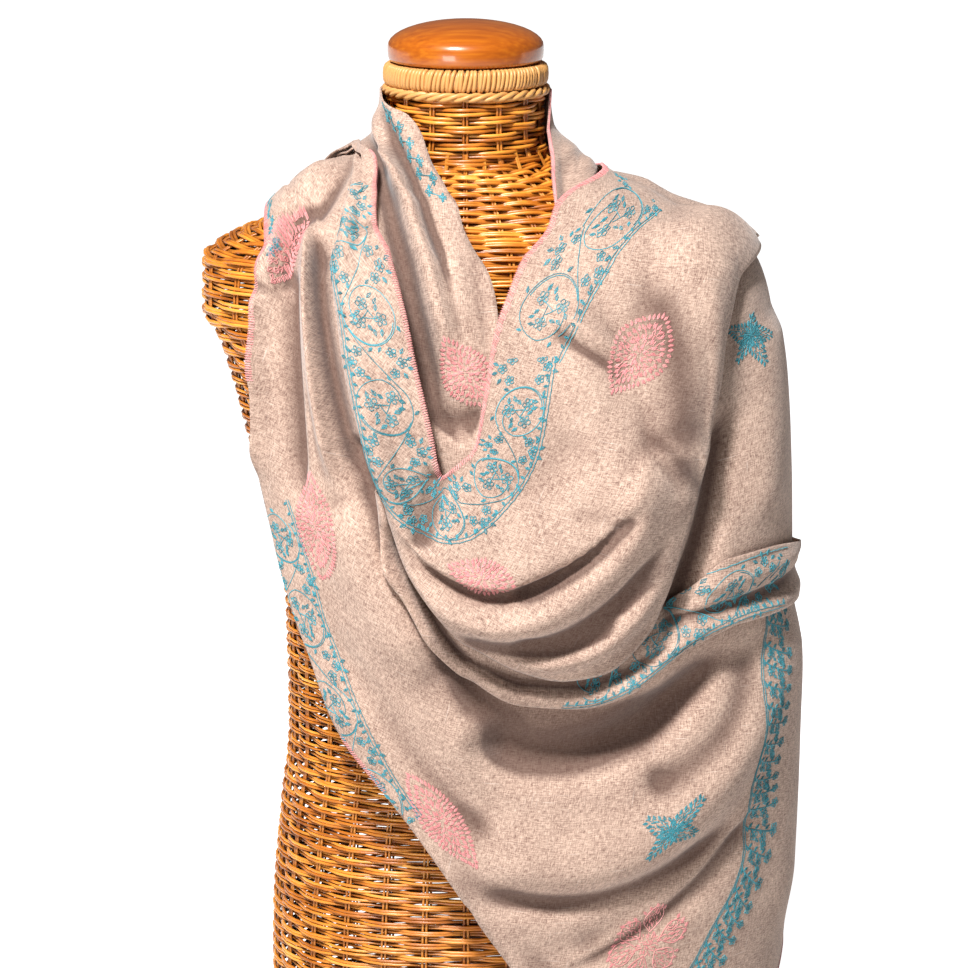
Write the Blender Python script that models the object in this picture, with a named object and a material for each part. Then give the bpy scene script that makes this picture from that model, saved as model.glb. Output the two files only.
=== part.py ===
"""A pashmina shawl wound round the shoulders of a limbless wicker dress form.

Metres, +Z up. X runs to the right as the form is faced, Y runs away from the viewer, and the
origin is the centre of the form's base board, on the surface that it stands on.

The form is a stack of horizontal rings. The cloth lies on a second, looser stack of rings, and each
stretch of the shawl is a strip of that surface: a table gives its two edges, a row for each section,
and its height above the rings comes from its layer, its bellies and its folds.
"""

import bpy
import math
import numpy as np

MM = 0.001

# ---- driving dimensions, in millimetres ----

CLOTH_WALL = 1.6
FORM_WALL = 4.0
SEAT = 0.3  # gap between pieces that touch
SEAM = 0.6  # gap between two stretches that meet edge to edge, before their walls lean

SHOULDER_TOP = 722.0  # below it the rings widen into the shoulders
NECK_TOP = 764.0  # where the woven neck ends and its bound rim starts
RIM_TALL = 16.0
RIM_RADIUS = 57.5
RIM_BORE = 48.0
CAP_RADIUS = 54.5
CAP_TALL = 29.0
BASE_TALL = 12.0
RIM_STEPS = 12
RIM_SQUARE = 0.7  # power that flattens the rim's oval
CAP_SIDE = 10.0  # height of the cap's round side above its foot
CAP_DOME = 0.93  # the dome's radius as a share of the cap's
CAP_CROWN = 3.0  # radius of the flat at the dome's top
DOME_STEPS = 6
CAP_ROUND = 4.0  # how far the cap's round side rises past its widest ring, and starts above its foot

# Each ring: height, left half-width, right half-width, front depth, back depth, squareness.
FORM_RINGS = (
    (764, 56, 56, 56, 56, 2.0),
    (738, 56, 56, 57, 57, 2.0),
    (718, 59, 59, 59, 61, 2.0),
    (700, 86, 86, 63, 69, 2.2),
    (680, 120, 120, 72, 79, 2.4),
    (671, 136, 136, 77, 83, 2.4),
    (664, 158, 158, 80, 86, 2.4),
    (655, 176, 176, 84, 89, 2.4),
    (645, 187, 187, 88, 92, 2.4),
    (607, 188, 188, 101, 99, 2.4),
    (594, 180, 180, 105, 100, 2.4),
    (565, 170, 170, 113, 101, 2.4),
    (515, 157, 157, 121, 99, 2.4),
    (465, 145, 145, 120, 94, 2.4),
    (390, 132, 132, 107, 86, 2.3),
    (300, 131, 131, 103, 90, 2.3),
    (236, 138, 138, 111, 104, 2.3),
    (150, 145, 145, 119, 116, 2.3),
    (60, 146, 146, 121, 120, 2.3),
    (0, 144, 144, 119, 118, 2.3),
)

# The rings that the innermost cloth lies on: it spans from the bust and off the right shoulder.
DRAPE_RINGS = (
    (780, 56.6, 56.6, 56.6, 56.6, 2.0),
    (752, 56.8, 56.8, 57.6, 57.6, 2.0),
    (738, 58.6, 58.6, 59, 59, 2.0),
    (727, 63, 63, 61, 61.5, 2.0),
    (717, 70.5, 70, 63.5, 65, 2.02),
    (708, 81, 80, 66.5, 70, 2.06),
    (700, 93, 91, 70, 75, 2.13),
    (693, 104, 101, 73, 79, 2.2),
    (681, 124, 122, 82, 86, 2.3),
    (668.4, 142.6, 144, 90, 89.4, 2.4),
    (655.4, 177.6, 181, 99, 95.4, 2.4),
    (645, 194, 198, 107, 101, 2.4),
    (626, 197, 206, 117, 104, 2.4),
    (600, 194, 211, 127, 106, 2.4),
    (565, 181, 218, 135, 107, 2.4),
    (515, 168, 224, 141, 107, 2.4),
    (465, 160, 227, 143, 107, 2.4),
    (390, 154, 228, 144, 109, 2.4),
    (313, 152, 229, 144, 112, 2.4),
    (200, 152, 229, 143, 117, 2.4),
    (100, 152, 226, 142, 121, 2.4),
    (0, 152, 220, 141, 122, 2.4),
)

FRONT = 1
RIDGE = 0  # on the shoulder line, where only x counts
BEHIND = -2  # a seam's gap behind the shoulder line
BACK = -1

# Sections of each stretch: x, z and side of one edge, then x, z and side of the other.
LEFT_FALL = (
    (-134, 642, BACK, -74, 672, BACK),
    (-134, 0, RIDGE, -76, 0, RIDGE),
    (-139, 661, FRONT, -74, 690, FRONT),
    (-146, 622, FRONT, -64, 632, FRONT),
    (-148, 577, FRONT, -46, 562, FRONT),
    (-147, 537, FRONT, -22, 505, FRONT),
    (-142, 503, FRONT, -6, 456, FRONT),
    (-133, 464, FRONT, 18, 410, FRONT),
    (-121, 421, FRONT, 42, 386, FRONT),
    (-103, 374, FRONT, 64, 375, FRONT),
    (-86, 334, FRONT, 104, 379, FRONT),
    (-57, 295, FRONT, 138, 388, FRONT),
    (-34, 264, FRONT, 170, 405, FRONT),
    (-14, 234, FRONT, 204, 416, FRONT),
    (-1, 214, FRONT, 212, 412, BACK),
    (10, 197, FRONT, 206, 372, BACK),
    (22, 179, FRONT, 208, 322, BACK),
    (34, 161, FRONT, 214, 276, BACK),
    (46, 144, FRONT, 227, 232, BACK),
    (60, 124, FRONT, 236, 190, RIDGE),
    (74, 104, FRONT, 233, 152, FRONT),
    (86, 88, FRONT, 228, 118, FRONT),
    (98, 72, FRONT, 216, 88, FRONT),
    (110, 57, FRONT, 196, 64, FRONT),
    (120, 45, FRONT, 172, 46, FRONT),
    (128, 36, FRONT, 148, 33, FRONT),
)
RIGHT_FALL = (
    (104, 668, BACK, 176, 636, BACK),
    (92, 0, RIDGE, 188, 628, BACK),
    (100, 668, FRONT, 196, 608, BACK),
    (112, 618, FRONT, 200, 580, BACK),
    (116, 560, FRONT, 204, 542, BACK),
    (114, 500, FRONT, 206, 504, BACK),
    (112, 456, FRONT, 207, 470, BACK),
    (122, 417, FRONT, 208, 450, BACK),
)
LOWER_ROLL = (
    (-30, 508, FRONT, -60, 508, FRONT),
    (-24, 470, FRONT, -57, 463, FRONT),
    (-14, 448, FRONT, -41, 434, FRONT),
    (2, 426, FRONT, -23, 400, FRONT),
    (22, 410, FRONT, 4, 373, FRONT),
    (46, 403, FRONT, 37, 357, FRONT),
    (76, 404, FRONT, 78, 353, FRONT),
    (102, 414, FRONT, 119, 363, FRONT),
    (128, 438, FRONT, 141, 374, FRONT),
    (152, 452, FRONT, 162, 389, FRONT),
    (184, 458, FRONT, 190, 408, FRONT),
    (214, 456, FRONT, 214, 404, FRONT),
    (238, 451, RIDGE, 238, 399, RIDGE),
    (234, 450, BACK, 234, 398, BACK),
)
COWL = (
    (-74, 0, RIDGE, -91, 0, RIDGE),
    (-68, 722, FRONT, -91, 716, FRONT),
    (-61, 698, FRONT, -91, 694, FRONT),
    (-50, 668, FRONT, -88, 655, FRONT),
    (-40, 632, FRONT, -83, 612, FRONT),
    (-30, 587, FRONT, -76, 573, FRONT),
    (-21, 548, FRONT, -66, 538, FRONT),
    (-17, 532, FRONT, -54, 500, FRONT),
    (-13, 527, FRONT, -43, 466, FRONT),
    (-8, 528, FRONT, -23, 432, FRONT),
    (-2, 532, FRONT, 4, 404, FRONT),
    (4, 540, FRONT, 37, 386, FRONT),
    (9, 554, FRONT, 66, 379, FRONT),
    (12, 570, FRONT, 94, 383, FRONT),
    (15, 587, FRONT, 117, 400, FRONT),
    (18, 606, FRONT, 132, 422, FRONT),
    (23, 625, FRONT, 152, 482, FRONT),
    (32, 647, FRONT, 165, 529, FRONT),
    (43, 665, FRONT, 173, 568, FRONT),
    (61, 692, FRONT, 181, 615, FRONT),
    (79, 703, FRONT, 190, 643, FRONT),
    (95, 0, RIDGE, 203, 0, RIDGE),
)
BACK_WRAP = (
    (95, 0, BEHIND, 203, 0, BEHIND),
    (88, 700, BACK, 196, 634, BACK),
    (66, 690, BACK, 166, 568, BACK),
    (36, 680, BACK, 112, 505, BACK),
    (0, 676, BACK, 34, 478, BACK),
    (-36, 683, BACK, -44, 506, BACK),
    (-52, 692, BACK, -76, 556, BACK),
    (-60, 703, BACK, -94, 608, BACK),
    (-68, 716, BACK, -102, 662, BACK),
    (-74, 0, BEHIND, -91, 0, BEHIND),
)
BACK_FALL = (
    (210, 626, BACK, 229, 298, BACK),
    (176, 630, BACK, 200, 270, BACK),
    (116, 620, BACK, 132, 248, BACK),
    (40, 602, BACK, 42, 236, BACK),
    (-36, 612, BACK, -34, 246, BACK),
    (-92, 640, BACK, -82, 276, BACK),
    (-126, 650, BACK, -104, 318, BACK),
)
NECK_DRAPE = (
    (24, 540, FRONT, -38, 530, FRONT),
    (19, 568, FRONT, -48, 562, FRONT),
    (18, 604, FRONT, -58, 602, FRONT),
    (23, 633, FRONT, -68, 644, FRONT),
    (10, 661, FRONT, -75, 678, FRONT),
    (-7, 692, FRONT, -78, 700, FRONT),
    (-30, 726, FRONT, -78, 712, FRONT),
    (-45, 752, FRONT, -74, 722, FRONT),
    (-59, 762, RIDGE, -82, 0, RIDGE),
    (-42, 763, BACK, -66, 684, BACK),
    (0, 763, BACK, 0, 660, BACK),
    (42, 763, BACK, 70, 680, BACK),
    (59, 761, RIDGE, 92, 0, RIDGE),
    (58, 742, FRONT, 84, 702, FRONT),
    (59, 722, FRONT, 84, 690, FRONT),
    (60, 704, FRONT, 82, 672, FRONT),
    (62, 688, FRONT, 78, 656, FRONT),
    (48, 660, FRONT, 66, 630, FRONT),
)

# Bellies: x, z, half-width, half-height, how far the layer swells out there, side.
FALL_BELLIES = (
    (-86, 712, 34, 34, 11, RIDGE),
    (-60, 400, 60, 90, 9, FRONT),
    (130, 290, 90, 110, 9, FRONT),
)
NECK_BELLIES = (
    (-72, 716, 26, 36, 5, RIDGE),
    (-44, 640, 40, 70, 12, FRONT),
    (78, 712, 18, 24, 4, RIDGE),
)
COWL_BELLIES = (
    (-80, 724, 20, 24, 3, RIDGE),
    (-40, 590, 60, 90, 18, FRONT),
    (45, 455, 105, 110, 30, FRONT),
)

# Folds: start x, z; bend x, z; end x, z; reach above and below the line; rise (a trough is minus).
FALL_FOLDS = (
    (-124, 676, -140, 600, -134, 480, 10, 10, 7.0),
    (-112, 690, -123, 600, -118, 470, 9, 9, -6.0),
    (-100, 700, -110, 600, -106, 440, 10, 10, 8.0),
    (-88, 704, -98, 600, -90, 470, 9, 9, -7.0),
    (-82, 500, -54, 420, 26, 300, 26, 19, 11.0),
    (-30, 410, 10, 316, 156, 352, 18, 24, -12.0),
    (0, 258, 130, 190, 214, 380, 30, 20, 13.0),
    (60, 166, 150, 190, 200, 270, 16, 11, -7.0),
    (110, 296, 180, 300, 196, 396, 14, 12, -9.0),
    (204, 612, 212, 550, 200, 466, 12, 12, 6.0),
    (184, 610, 192, 550, 182, 466, 12, 12, -4.0),
    (224, 400, 224, 300, 222, 150, 10, 12, 6.0),
    (-100, 390, -30, 250, 60, 170, 18, 18, 6.0),
    (-70, 330, 0, 230, 90, 120, 12, 12, -4.0),
)
BACK_FOLDS = (
    (166, 600, 150, 420, 170, 262, 18, 18, 9.0),
    (112, 590, 90, 420, 112, 252, 16, 16, -7.0),
    (60, 580, 30, 420, 48, 240, 20, 20, 10.0),
    (0, 580, -20, 420, 0, 240, 16, 16, -7.0),
    (-60, 600, -66, 440, -46, 250, 18, 18, 8.0),
    (-92, 610, -96, 460, -80, 300, 12, 12, -5.0),
)
NECK_FOLDS = (
    (-66, 742, -50, 650, -8, 540, 10, 8, 8.0),
    (-52, 742, -28, 660, 6, 560, 9, 9, -7.0),
    (-40, 744, -10, 680, 16, 590, 10, 9, 7.0),
    (66, 744, 70, 700, 68, 660, 7, 7, 5.0),
    (76, 742, 84, 700, 78, 660, 6, 6, -4.0),
)
COLLAR_FOLDS = (
    (74, 722, 0, 690, -70, 722, 12, 9, 6.0),
    (62, 742, 0, 716, -58, 742, 8, 8, -3.0),
)
COWL_FOLDS = (
    (-54, 492, 22, 404, 100, 500, 13, 8, 14.0),
    (-46, 460, 76, 352, 140, 556, 13, 9, 16.0),
    (40, 430, 92, 410, 118, 520, 9, 9, -9.0),
    (-62, 670, -60, 600, -44, 500, 15, 15, 8.0),
    (-15, 528, -22, 500, -28, 470, 8, 8, -9.0),
    (60, 650, 100, 560, 84, 490, 26, 26, 8.0),
    (100, 660, 142, 590, 124, 510, 20, 20, -7.0),
    (150, 650, 166, 590, 146, 480, 18, 15, 8.0),
    (-10, 560, 30, 480, 84, 560, 20, 20, -6.0),
)
WRAP_FOLDS = (
    (150, 600, 20, 450, -60, 590, 22, 11, 12.0),
    (134, 610, 10, 515, -56, 616, 14, 10, -9.0),
    (104, 620, 0, 560, -50, 640, 14, 10, 8.0),
)

FOLD_SOFT = 7.0  # extra reach that keeps each fold wider than the grid's cells
FALL_LIFT = 2.4
FALL_REST = 4.6  # how much further the falls stand off in front than on the shoulder line
NECK_STEP = 2.4
NECK_CLEAR = 1.1  # between the neck's rings and the cloth's inner face
ROLL_STEP = 6.0
BACK_STEP = 4.0
COWL_STEP = 2.9
BACK_NEAR = 3.0
BACK_REST = 9.0
BACK_ROOM = 1.5
ROLL_SWELL = 9.0
ROLL_TUCK = 4.3  # room that the cowl leaves for the roll behind its edge
SIDE_BLEND = 50.0  # depth over which a front or back height fades across the shoulder line
COLLAR_LOW = 715.0  # above it the neck drape closes in to the neck
COLLAR_BLEND = 20.0
STRAP_LOW = 690.0  # above it the fall thins towards the neck
STRAP_BLEND = 30.0
STRAP_THIN = 0.5
BAND_START = 110.0  # right of it the roll opens into a flat band
BAND_BLEND = 60.0
BAND_STEP_LOSS = 0.4
BAND_SWELL_LOSS = 0.75
TUCK_TOP = 560.0  # below it the cowl clears the roll behind its edge
TUCK_BLEND = 30.0
NECK_SWELL = 3.0
COWL_SWELL = 9.0
NORMAL_TURN = 0.02  # half-spans over which a ring normal is measured
NORMAL_STEP = 1.5
FINE_ROWS = 1200  # rows of the table that turns a height into a length down the profile
SECTION_EASE = 3.0  # keeps sections apart where they fan about one point
FOLD_FADE = 0.2  # share of a fold's line over which it dies out at each end
FOLD_END = 0.15
BEND_STEPS = 24  # samples along a fold's line
FOOT_TRIES = 14  # tries at finding the ring point under a cloth point, each a step of the error
FOOT_STEP = 0.4
CLOSE_TRIES = 5  # closer tries after those
FOOT_PROBES = (0.004, 0.3)  # changes of angle and length that measure the slopes for closer tries
FOOT_REACH = (0.12, 8.0)  # most that one closer try moves

# Sections along and columns across each cloth grid.
GRIDS = {
    "shawl_left_fall": (52, 19),
    "shawl_right_fall": (14, 10),
    "shawl_lower_roll": (34, 6),
    "shawl_cowl": (44, 18),
    "shawl_back_wrap": (28, 10),
    "shawl_back_fall": (16, 16),
    "shawl_neck_drape": (42, 8),
}
RING_SIDES = 36
TURNED_SIDES = 36


# ---- curves and rings ----

def slopes(knots, values):
    """Slopes of a smooth curve through the values that never overshoots them."""
    steps = np.diff(knots)[:, None]
    rates = np.diff(values, axis=0) / steps
    result = np.zeros_like(values)
    result[0] = rates[0]
    result[-1] = rates[-1]
    before, after = rates[:-1], rates[1:]
    same = before * after > 0
    safe = np.where(same, before + after, 1.0)
    result[1:-1] = np.where(same, 2 * before * after / safe, 0.0)
    return result


def smooth_curve(knots, values, places):
    """The values of the columns at any places between the knots."""
    tangents = slopes(knots, values)
    last = np.clip(np.searchsorted(knots, places, side="right") - 1, 0, len(knots) - 2)
    span = (knots[last + 1] - knots[last])[..., None]
    part = ((places - knots[last]) / span[..., 0])[..., None]
    start, end = values[last], values[last + 1]
    rise, fall = tangents[last] * span, tangents[last + 1] * span
    square, cube = part ** 2, part ** 3
    return (start * (2 * cube - 3 * square + 1) + rise * (cube - 2 * square + part)
            + end * (3 * square - 2 * cube) + fall * (cube - square))


class Rings:
    """A surface through horizontal rings, measured by an angle and a length down its profile."""

    def __init__(self, rows):
        table = np.array(rows, dtype=float)
        widths = (table[:, 1] + table[:, 2]) / 2
        steps = np.hypot(np.diff(table[:, 0]), np.diff(widths))
        self.length = np.concatenate(([0.0], np.cumsum(steps)))
        self.table = table
        self.fine = np.linspace(0.0, self.length[-1], FINE_ROWS)
        self.fine_columns = smooth_curve(self.length, table, self.fine)

    def columns(self, down):
        """Height, left, right, front, back and squareness at a length down the profile."""
        down = np.clip(down, 0.0, self.length[-1])
        return np.moveaxis(smooth_curve(self.length, self.table, down), -1, 0)

    def place(self, angle, down):
        """The point at an angle, 0 in front and a quarter turn on the right."""
        height, left, right, front, back, square = self.columns(down)
        sine, cosine = np.sin(angle), np.cos(angle)
        across = np.where(sine < 0, left, right) * np.sign(sine) * np.abs(sine) ** (2 / square)
        away = -np.where(cosine > 0, front, back) * np.sign(cosine) * np.abs(cosine) ** (2 / square)
        return np.stack((across, away, height), axis=-1)

    def outward(self, angle, down):
        """The unit normal, from points a little to each side."""
        around = self.place(angle + NORMAL_TURN, down) - self.place(angle - NORMAL_TURN, down)
        along = self.place(angle, down + NORMAL_STEP) - self.place(angle, down - NORMAL_STEP)
        normal = np.cross(around, -along)
        return normal / np.linalg.norm(normal, axis=-1, keepdims=True)

    def locate(self, x, z, side):
        """The angle and length down of the ring point at x and z, on the front or back."""
        column = 1 if x < 0 else 2
        if side in (RIDGE, BEHIND) and z == 0:
            start = int(np.argmax(self.fine_columns[:, 0] < SHOULDER_TOP))
            widest = int(np.argmax(self.fine_columns[:, column]))
            down = np.interp(abs(x), self.fine_columns[start:widest, column], self.fine[start:widest])
            behind = 0.0
            if side == BEHIND:
                ring = self.columns(np.array(down))
                behind = (SEAM / ring[4]) ** (ring[5] / 2)
            return math.copysign(math.pi / 2 + behind, x), down
        down = np.interp(-z, -self.fine_columns[:, 0], self.fine)
        if side == RIDGE:
            return math.copysign(math.pi / 2, x), down
        ring = self.columns(np.array(down))
        part = min(abs(x) / ring[column], 1.0) ** (ring[5] / 2)
        lean = math.copysign(math.asin(part), x)
        if side == FRONT:
            return lean, down
        return math.pi - lean, down


DRAPE = Rings(DRAPE_RINGS)
FORM = Rings(FORM_RINGS)


# ---- heights of the cloth above the drape rings ----

def side_weight(points, side):
    """1 on a side of the form and 0 on the other, blended across the shoulder line."""
    if side == RIDGE:
        return np.ones(points.shape[:-1])
    lean = np.clip(0.5 - side * points[..., 1] / SIDE_BLEND, 0.0, 1.0)
    return lean * lean * (3 - 2 * lean)


def bellies(points, rows):
    """Broad swellings of a layer."""
    total = np.zeros(points.shape[:-1])
    for x, z, wide, tall, rise, side in rows:
        spread = ((points[..., 0] - x) / wide) ** 2 + ((points[..., 2] - z) / tall) ** 2
        total += rise * np.exp(-spread) * side_weight(points, side)
    return total


def folds(points, rows, side):
    """Ridges and troughs along bent lines, with one reach above each line and one below."""
    total = np.zeros(points.shape[:-1])
    part = np.linspace(0.0, 1.0, BEND_STEPS)[:, None]
    weight = side_weight(points, side)
    flat = points[..., None, :][..., (0, 2)]
    for x0, z0, xb, zb, x1, z1, above, below, rise in rows:
        start, bend, end = np.array((x0, z0)), np.array((xb, zb)), np.array((x1, z1))
        line = start * (1 - part) ** 2 + 2 * bend * part * (1 - part) + end * part ** 2
        heading = 2 * ((bend - start) * (1 - part) + (end - bend) * part)
        speed = np.linalg.norm(heading, axis=1)
        heading /= speed[:, None]
        offset = flat - line
        nearest = np.argmin(np.sum(offset ** 2, axis=-1), axis=-1)
        offset = np.take_along_axis(offset, nearest[..., None, None], -2)[..., 0, :]
        heading, speed = heading[nearest], speed[nearest]
        along = np.sum(offset * heading, axis=-1)
        place = np.clip(nearest / (BEND_STEPS - 1) + along / speed, 0.0, 1.0)
        past = along - (place - nearest / (BEND_STEPS - 1)) * speed
        turn = offset[..., 0] * heading[..., 1] - offset[..., 1] * heading[..., 0]
        lean = np.clip(turn / FOLD_SOFT, -1.0, 1.0)
        reach = (above + below + (below - above) * lean) / 2 + FOLD_SOFT
        fade = np.clip(np.minimum(place, 1 - place) / FOLD_FADE + FOLD_END, 0.0, 1.0)
        fade = fade * fade * (3 - 2 * fade)
        total += rise * fade * weight * np.exp(-(turn ** 2 + past ** 2) / reach ** 2)
    return total


def soft_max(first, second, blend=1.0):
    """The larger of two heights, with a rounded change between them."""
    return (first + second + np.sqrt((first - second) ** 2 + blend ** 2)) / 2


def fall_height(points):
    raised = FALL_LIFT + FALL_REST * side_weight(points, FRONT) ** 2
    raised += bellies(points, FALL_BELLIES) + folds(points, FALL_FOLDS, FRONT)
    strap = np.clip((points[..., 2] - STRAP_LOW) / STRAP_BLEND, 0.0, 1.0)
    return soft_max(raised * (1 - STRAP_THIN * strap), np.full(raised.shape, FALL_LIFT))


def back_height(points):
    raised = BACK_NEAR + BACK_REST * side_weight(points, BACK) ** 2 + folds(points, BACK_FOLDS, BACK)
    return soft_max(raised, fall_height(points) + BACK_STEP)


def neck_height(points):
    raised = NECK_SWELL + bellies(points, NECK_BELLIES) + folds(points, NECK_FOLDS, FRONT)
    around = folds(points, COLLAR_FOLDS, BACK)
    collar = np.clip((points[..., 2] - COLLAR_LOW) / COLLAR_BLEND, 0.0, 1.0)
    over_fall = fall_height(points) + NECK_STEP
    close = np.full(raised.shape, CLOTH_WALL + NECK_CLEAR)
    low = over_fall * (1 - collar) + close * collar
    return soft_max(raised * (1 - collar) + close * collar, low, 0.4) + np.maximum(around, 0.0)


def roll_height(points, across):
    swell = ROLL_SWELL * np.sin(math.pi * np.clip(across, 0.0, 1.0) ** 2)
    band = np.clip((points[..., 0] - BAND_START) / BAND_BLEND, 0.0, 1.0)
    step = ROLL_STEP * (1 - BAND_STEP_LOSS * band)
    return fall_height(points) + step + swell * (1 - BAND_SWELL_LOSS * band)


def cowl_height(points):
    raised = COWL_SWELL + bellies(points, COWL_BELLIES) + folds(points, COWL_FOLDS, FRONT)
    raised += folds(points, WRAP_FOLDS, BACK)
    low_front = side_weight(points, FRONT) * np.clip((TUCK_TOP - points[..., 2]) / TUCK_BLEND, 0.0, 1.0)
    roll = fall_height(points) + (ROLL_STEP + ROLL_TUCK) * low_front
    under = soft_max(soft_max(back_height(points) + BACK_ROOM, neck_height(points)), roll)
    return soft_max(raised, under + COWL_STEP)


HEIGHTS = {
    "shawl_left_fall": lambda points, across: fall_height(points),
    "shawl_right_fall": lambda points, across: fall_height(points),
    "shawl_lower_roll": roll_height,
    "shawl_cowl": lambda points, across: cowl_height(points),
    "shawl_back_wrap": lambda points, across: cowl_height(points),
    "shawl_back_fall": lambda points, across: back_height(points),
    "shawl_neck_drape": lambda points, across: neck_height(points),
}
SECTIONS = {
    "shawl_left_fall": LEFT_FALL,
    "shawl_right_fall": RIGHT_FALL,
    "shawl_lower_roll": LOWER_ROLL,
    "shawl_cowl": COWL,
    "shawl_back_wrap": BACK_WRAP,
    "shawl_back_fall": BACK_FALL,
    "shawl_neck_drape": NECK_DRAPE,
}


def lifted(feet, height):
    """The cloth points over ring points, at the middle of their stretch."""
    points = DRAPE.place(feet[:, 0], feet[:, 1])
    normals = DRAPE.outward(feet[:, 0], feet[:, 1])
    return points + normals * height(points, np.full(len(feet), 0.5))[:, None]


def edge(rows, first, height):
    """One edge of a stretch as ring coordinates: the feet of cloth points that stand off them."""
    wanted = np.array([row[first:first + 2] for row in rows], dtype=float)
    sides = [row[first + 2] for row in rows]
    free = np.stack((np.ones(len(rows)), wanted[:, 1] != 0), axis=-1)
    base = wanted.copy()
    for _ in range(FOOT_TRIES):
        feet = np.array([DRAPE.locate(x, z, side) for (x, z), side in zip(base, sides)])
        error = (wanted - lifted(feet, height)[:, (0, 2)]) * free
        base += FOOT_STEP * error
    loose = np.array([side in (FRONT, BACK) for side in sides])
    best, least = feet.copy(), np.linalg.norm(error, axis=1)
    for _ in range(CLOSE_TRIES):
        stand = lifted(feet, height)
        slopes_here = []
        for column, probe in enumerate(np.diag(FOOT_PROBES)):
            change = (lifted(feet + probe, height) - stand)[:, (0, 2)]
            slopes_here.append(change / FOOT_PROBES[column])
        error = wanted - stand[:, (0, 2)]
        steps = [np.linalg.lstsq(np.stack(pair, axis=-1), miss, rcond=0.05)[0]
                 for *pair, miss in zip(*slopes_here, error)]
        feet = feet + np.clip(steps, -np.array(FOOT_REACH), FOOT_REACH)
        miss = np.linalg.norm(wanted - lifted(feet, height)[:, (0, 2)], axis=1)
        closer = loose & (miss < least)
        best[closer], least[closer] = feet[closer], miss[closer]
    return best


def stretch(name):
    """The cloth points of a stretch, as a grid of sections along by columns across."""
    rows, height = SECTIONS[name], HEIGHTS[name]
    sections, columns = GRIDS[name]
    near, far = edge(rows, 0, height), edge(rows, 3, height)
    near[:, 0] = np.unwrap(near[:, 0])
    far[:, 0] = np.unwrap(far[:, 0])
    far[:, 0] += 2 * math.pi * round((near[0, 0] - far[0, 0]) / (2 * math.pi))
    tracks = [DRAPE.place(*(near * (1 - part) + far * part).T) for part in (0.0, 0.5, 1.0)]
    steps = np.mean([np.linalg.norm(np.diff(track, axis=0), axis=1) for track in tracks], axis=0)
    knots = np.concatenate(([0.0], np.cumsum(steps + SECTION_EASE)))
    places = np.linspace(0.0, knots[-1], sections + 1)
    start = smooth_curve(knots, near, places)[:, None]
    end = smooth_curve(knots, far, places)[:, None]
    across = np.linspace(0.0, 1.0, columns + 1)[None, :, None]
    coordinates = start * (1 - across) + end * across
    angle, down = coordinates[..., 0], coordinates[..., 1]
    points = DRAPE.place(angle, down)
    normals = DRAPE.outward(angle, down)
    lift = height(points, np.broadcast_to(across[..., 0], angle.shape))
    return (points + normals * lift[..., None]) * MM, normals


# ---- Blender objects ----

def material(name, color, roughness):
    slot = bpy.data.materials.new(name)
    slot.use_nodes = True
    shader = slot.node_tree.nodes["Principled BSDF"]
    shader.inputs["Base Color"].default_value = (*color, 1.0)
    shader.inputs["Roughness"].default_value = roughness
    shader.inputs["Metallic"].default_value = 0.0
    slot.diffuse_color = (*color, 1.0)
    return slot


def add_object(name, points, faces, slot):
    mesh = bpy.data.meshes.new(name)
    mesh.from_pydata([tuple(point) for point in points], [], faces)
    mesh.materials.append(slot)
    mesh.shade_smooth()
    piece = bpy.data.objects.new(name, mesh)
    bpy.context.scene.collection.objects.link(piece)
    return piece


def add_wall(piece, thick):
    """Gives a sheet its wall, on the side away from its normals."""
    wall = piece.modifiers.new("wall", "SOLIDIFY")
    wall.thickness = thick * MM
    wall.offset = -1.0
    return wall


def add_cloth(name, slot):
    grid, normals = stretch(name)
    rows, columns = grid.shape[:2]
    along = grid[1:, :-1] - grid[:-1, :-1]
    across = grid[:-1, 1:] - grid[:-1, :-1]
    facing = np.sum(np.cross(along, across) * normals[:-1, :-1])
    faces = []
    for row in range(rows - 1):
        for column in range(columns - 1):
            first = row * columns + column
            face = (first, first + columns, first + columns + 1, first + 1)
            faces.append(face if facing > 0 else face[::-1])
    piece = add_object(name, grid.reshape(-1, 3), faces, slot)
    add_wall(piece, CLOTH_WALL)
    return piece


def ring_band(rings, heights, sides):
    """Points and faces of a tube through the rings, facing out."""
    angles = np.linspace(0.0, 2 * math.pi, sides, endpoint=False)
    downs = np.interp(-np.array(heights), -rings.fine_columns[:, 0], rings.fine)
    points = [rings.place(angles, np.full(sides, down)) for down in downs]
    faces = []
    for row in range(len(downs) - 1):
        for side in range(sides):
            here, there = row * sides + side, row * sides + (side + 1) % sides
            faces.append((here, here + sides, there + sides, there))
    return np.concatenate(points) * MM, faces


def add_torso(slot):
    heights = [row[0] for row in FORM_RINGS]
    points, faces = ring_band(FORM, heights, RING_SIDES)
    torso = add_object("form_torso", points, faces, slot)
    add_wall(torso, FORM_WALL)
    return torso


def add_base(slot):
    """The board that closes the foot of the form, inside its wall."""
    left, right, front, back, square = FORM_RINGS[-1][1:]
    inset = FORM_WALL + SEAT
    sides = np.linspace(0.0, 2 * math.pi, RING_SIDES, endpoint=False)
    sine, cosine = np.sin(sides), np.cos(sides)
    x = (right - inset) * np.sign(sine) * np.abs(sine) ** (2 / square)
    y = -np.where(cosine > 0, front - inset, back - inset) * np.sign(cosine) * np.abs(cosine) ** (2 / square)
    low = np.stack((x, y, np.zeros(RING_SIDES)), axis=-1)
    high = low + np.array((0.0, 0.0, BASE_TALL))
    faces = [tuple(range(RING_SIDES - 1, -1, -1)), tuple(range(RING_SIDES, 2 * RING_SIDES))]
    for side in range(RING_SIDES):
        after = (side + 1) % RING_SIDES
        faces.append((side, after, after + RING_SIDES, side + RING_SIDES))
    board = add_object("form_base", np.concatenate((low, high)) * MM, faces, slot)
    board.data.set_sharp_from_angle(angle=math.radians(40))
    return board


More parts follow.
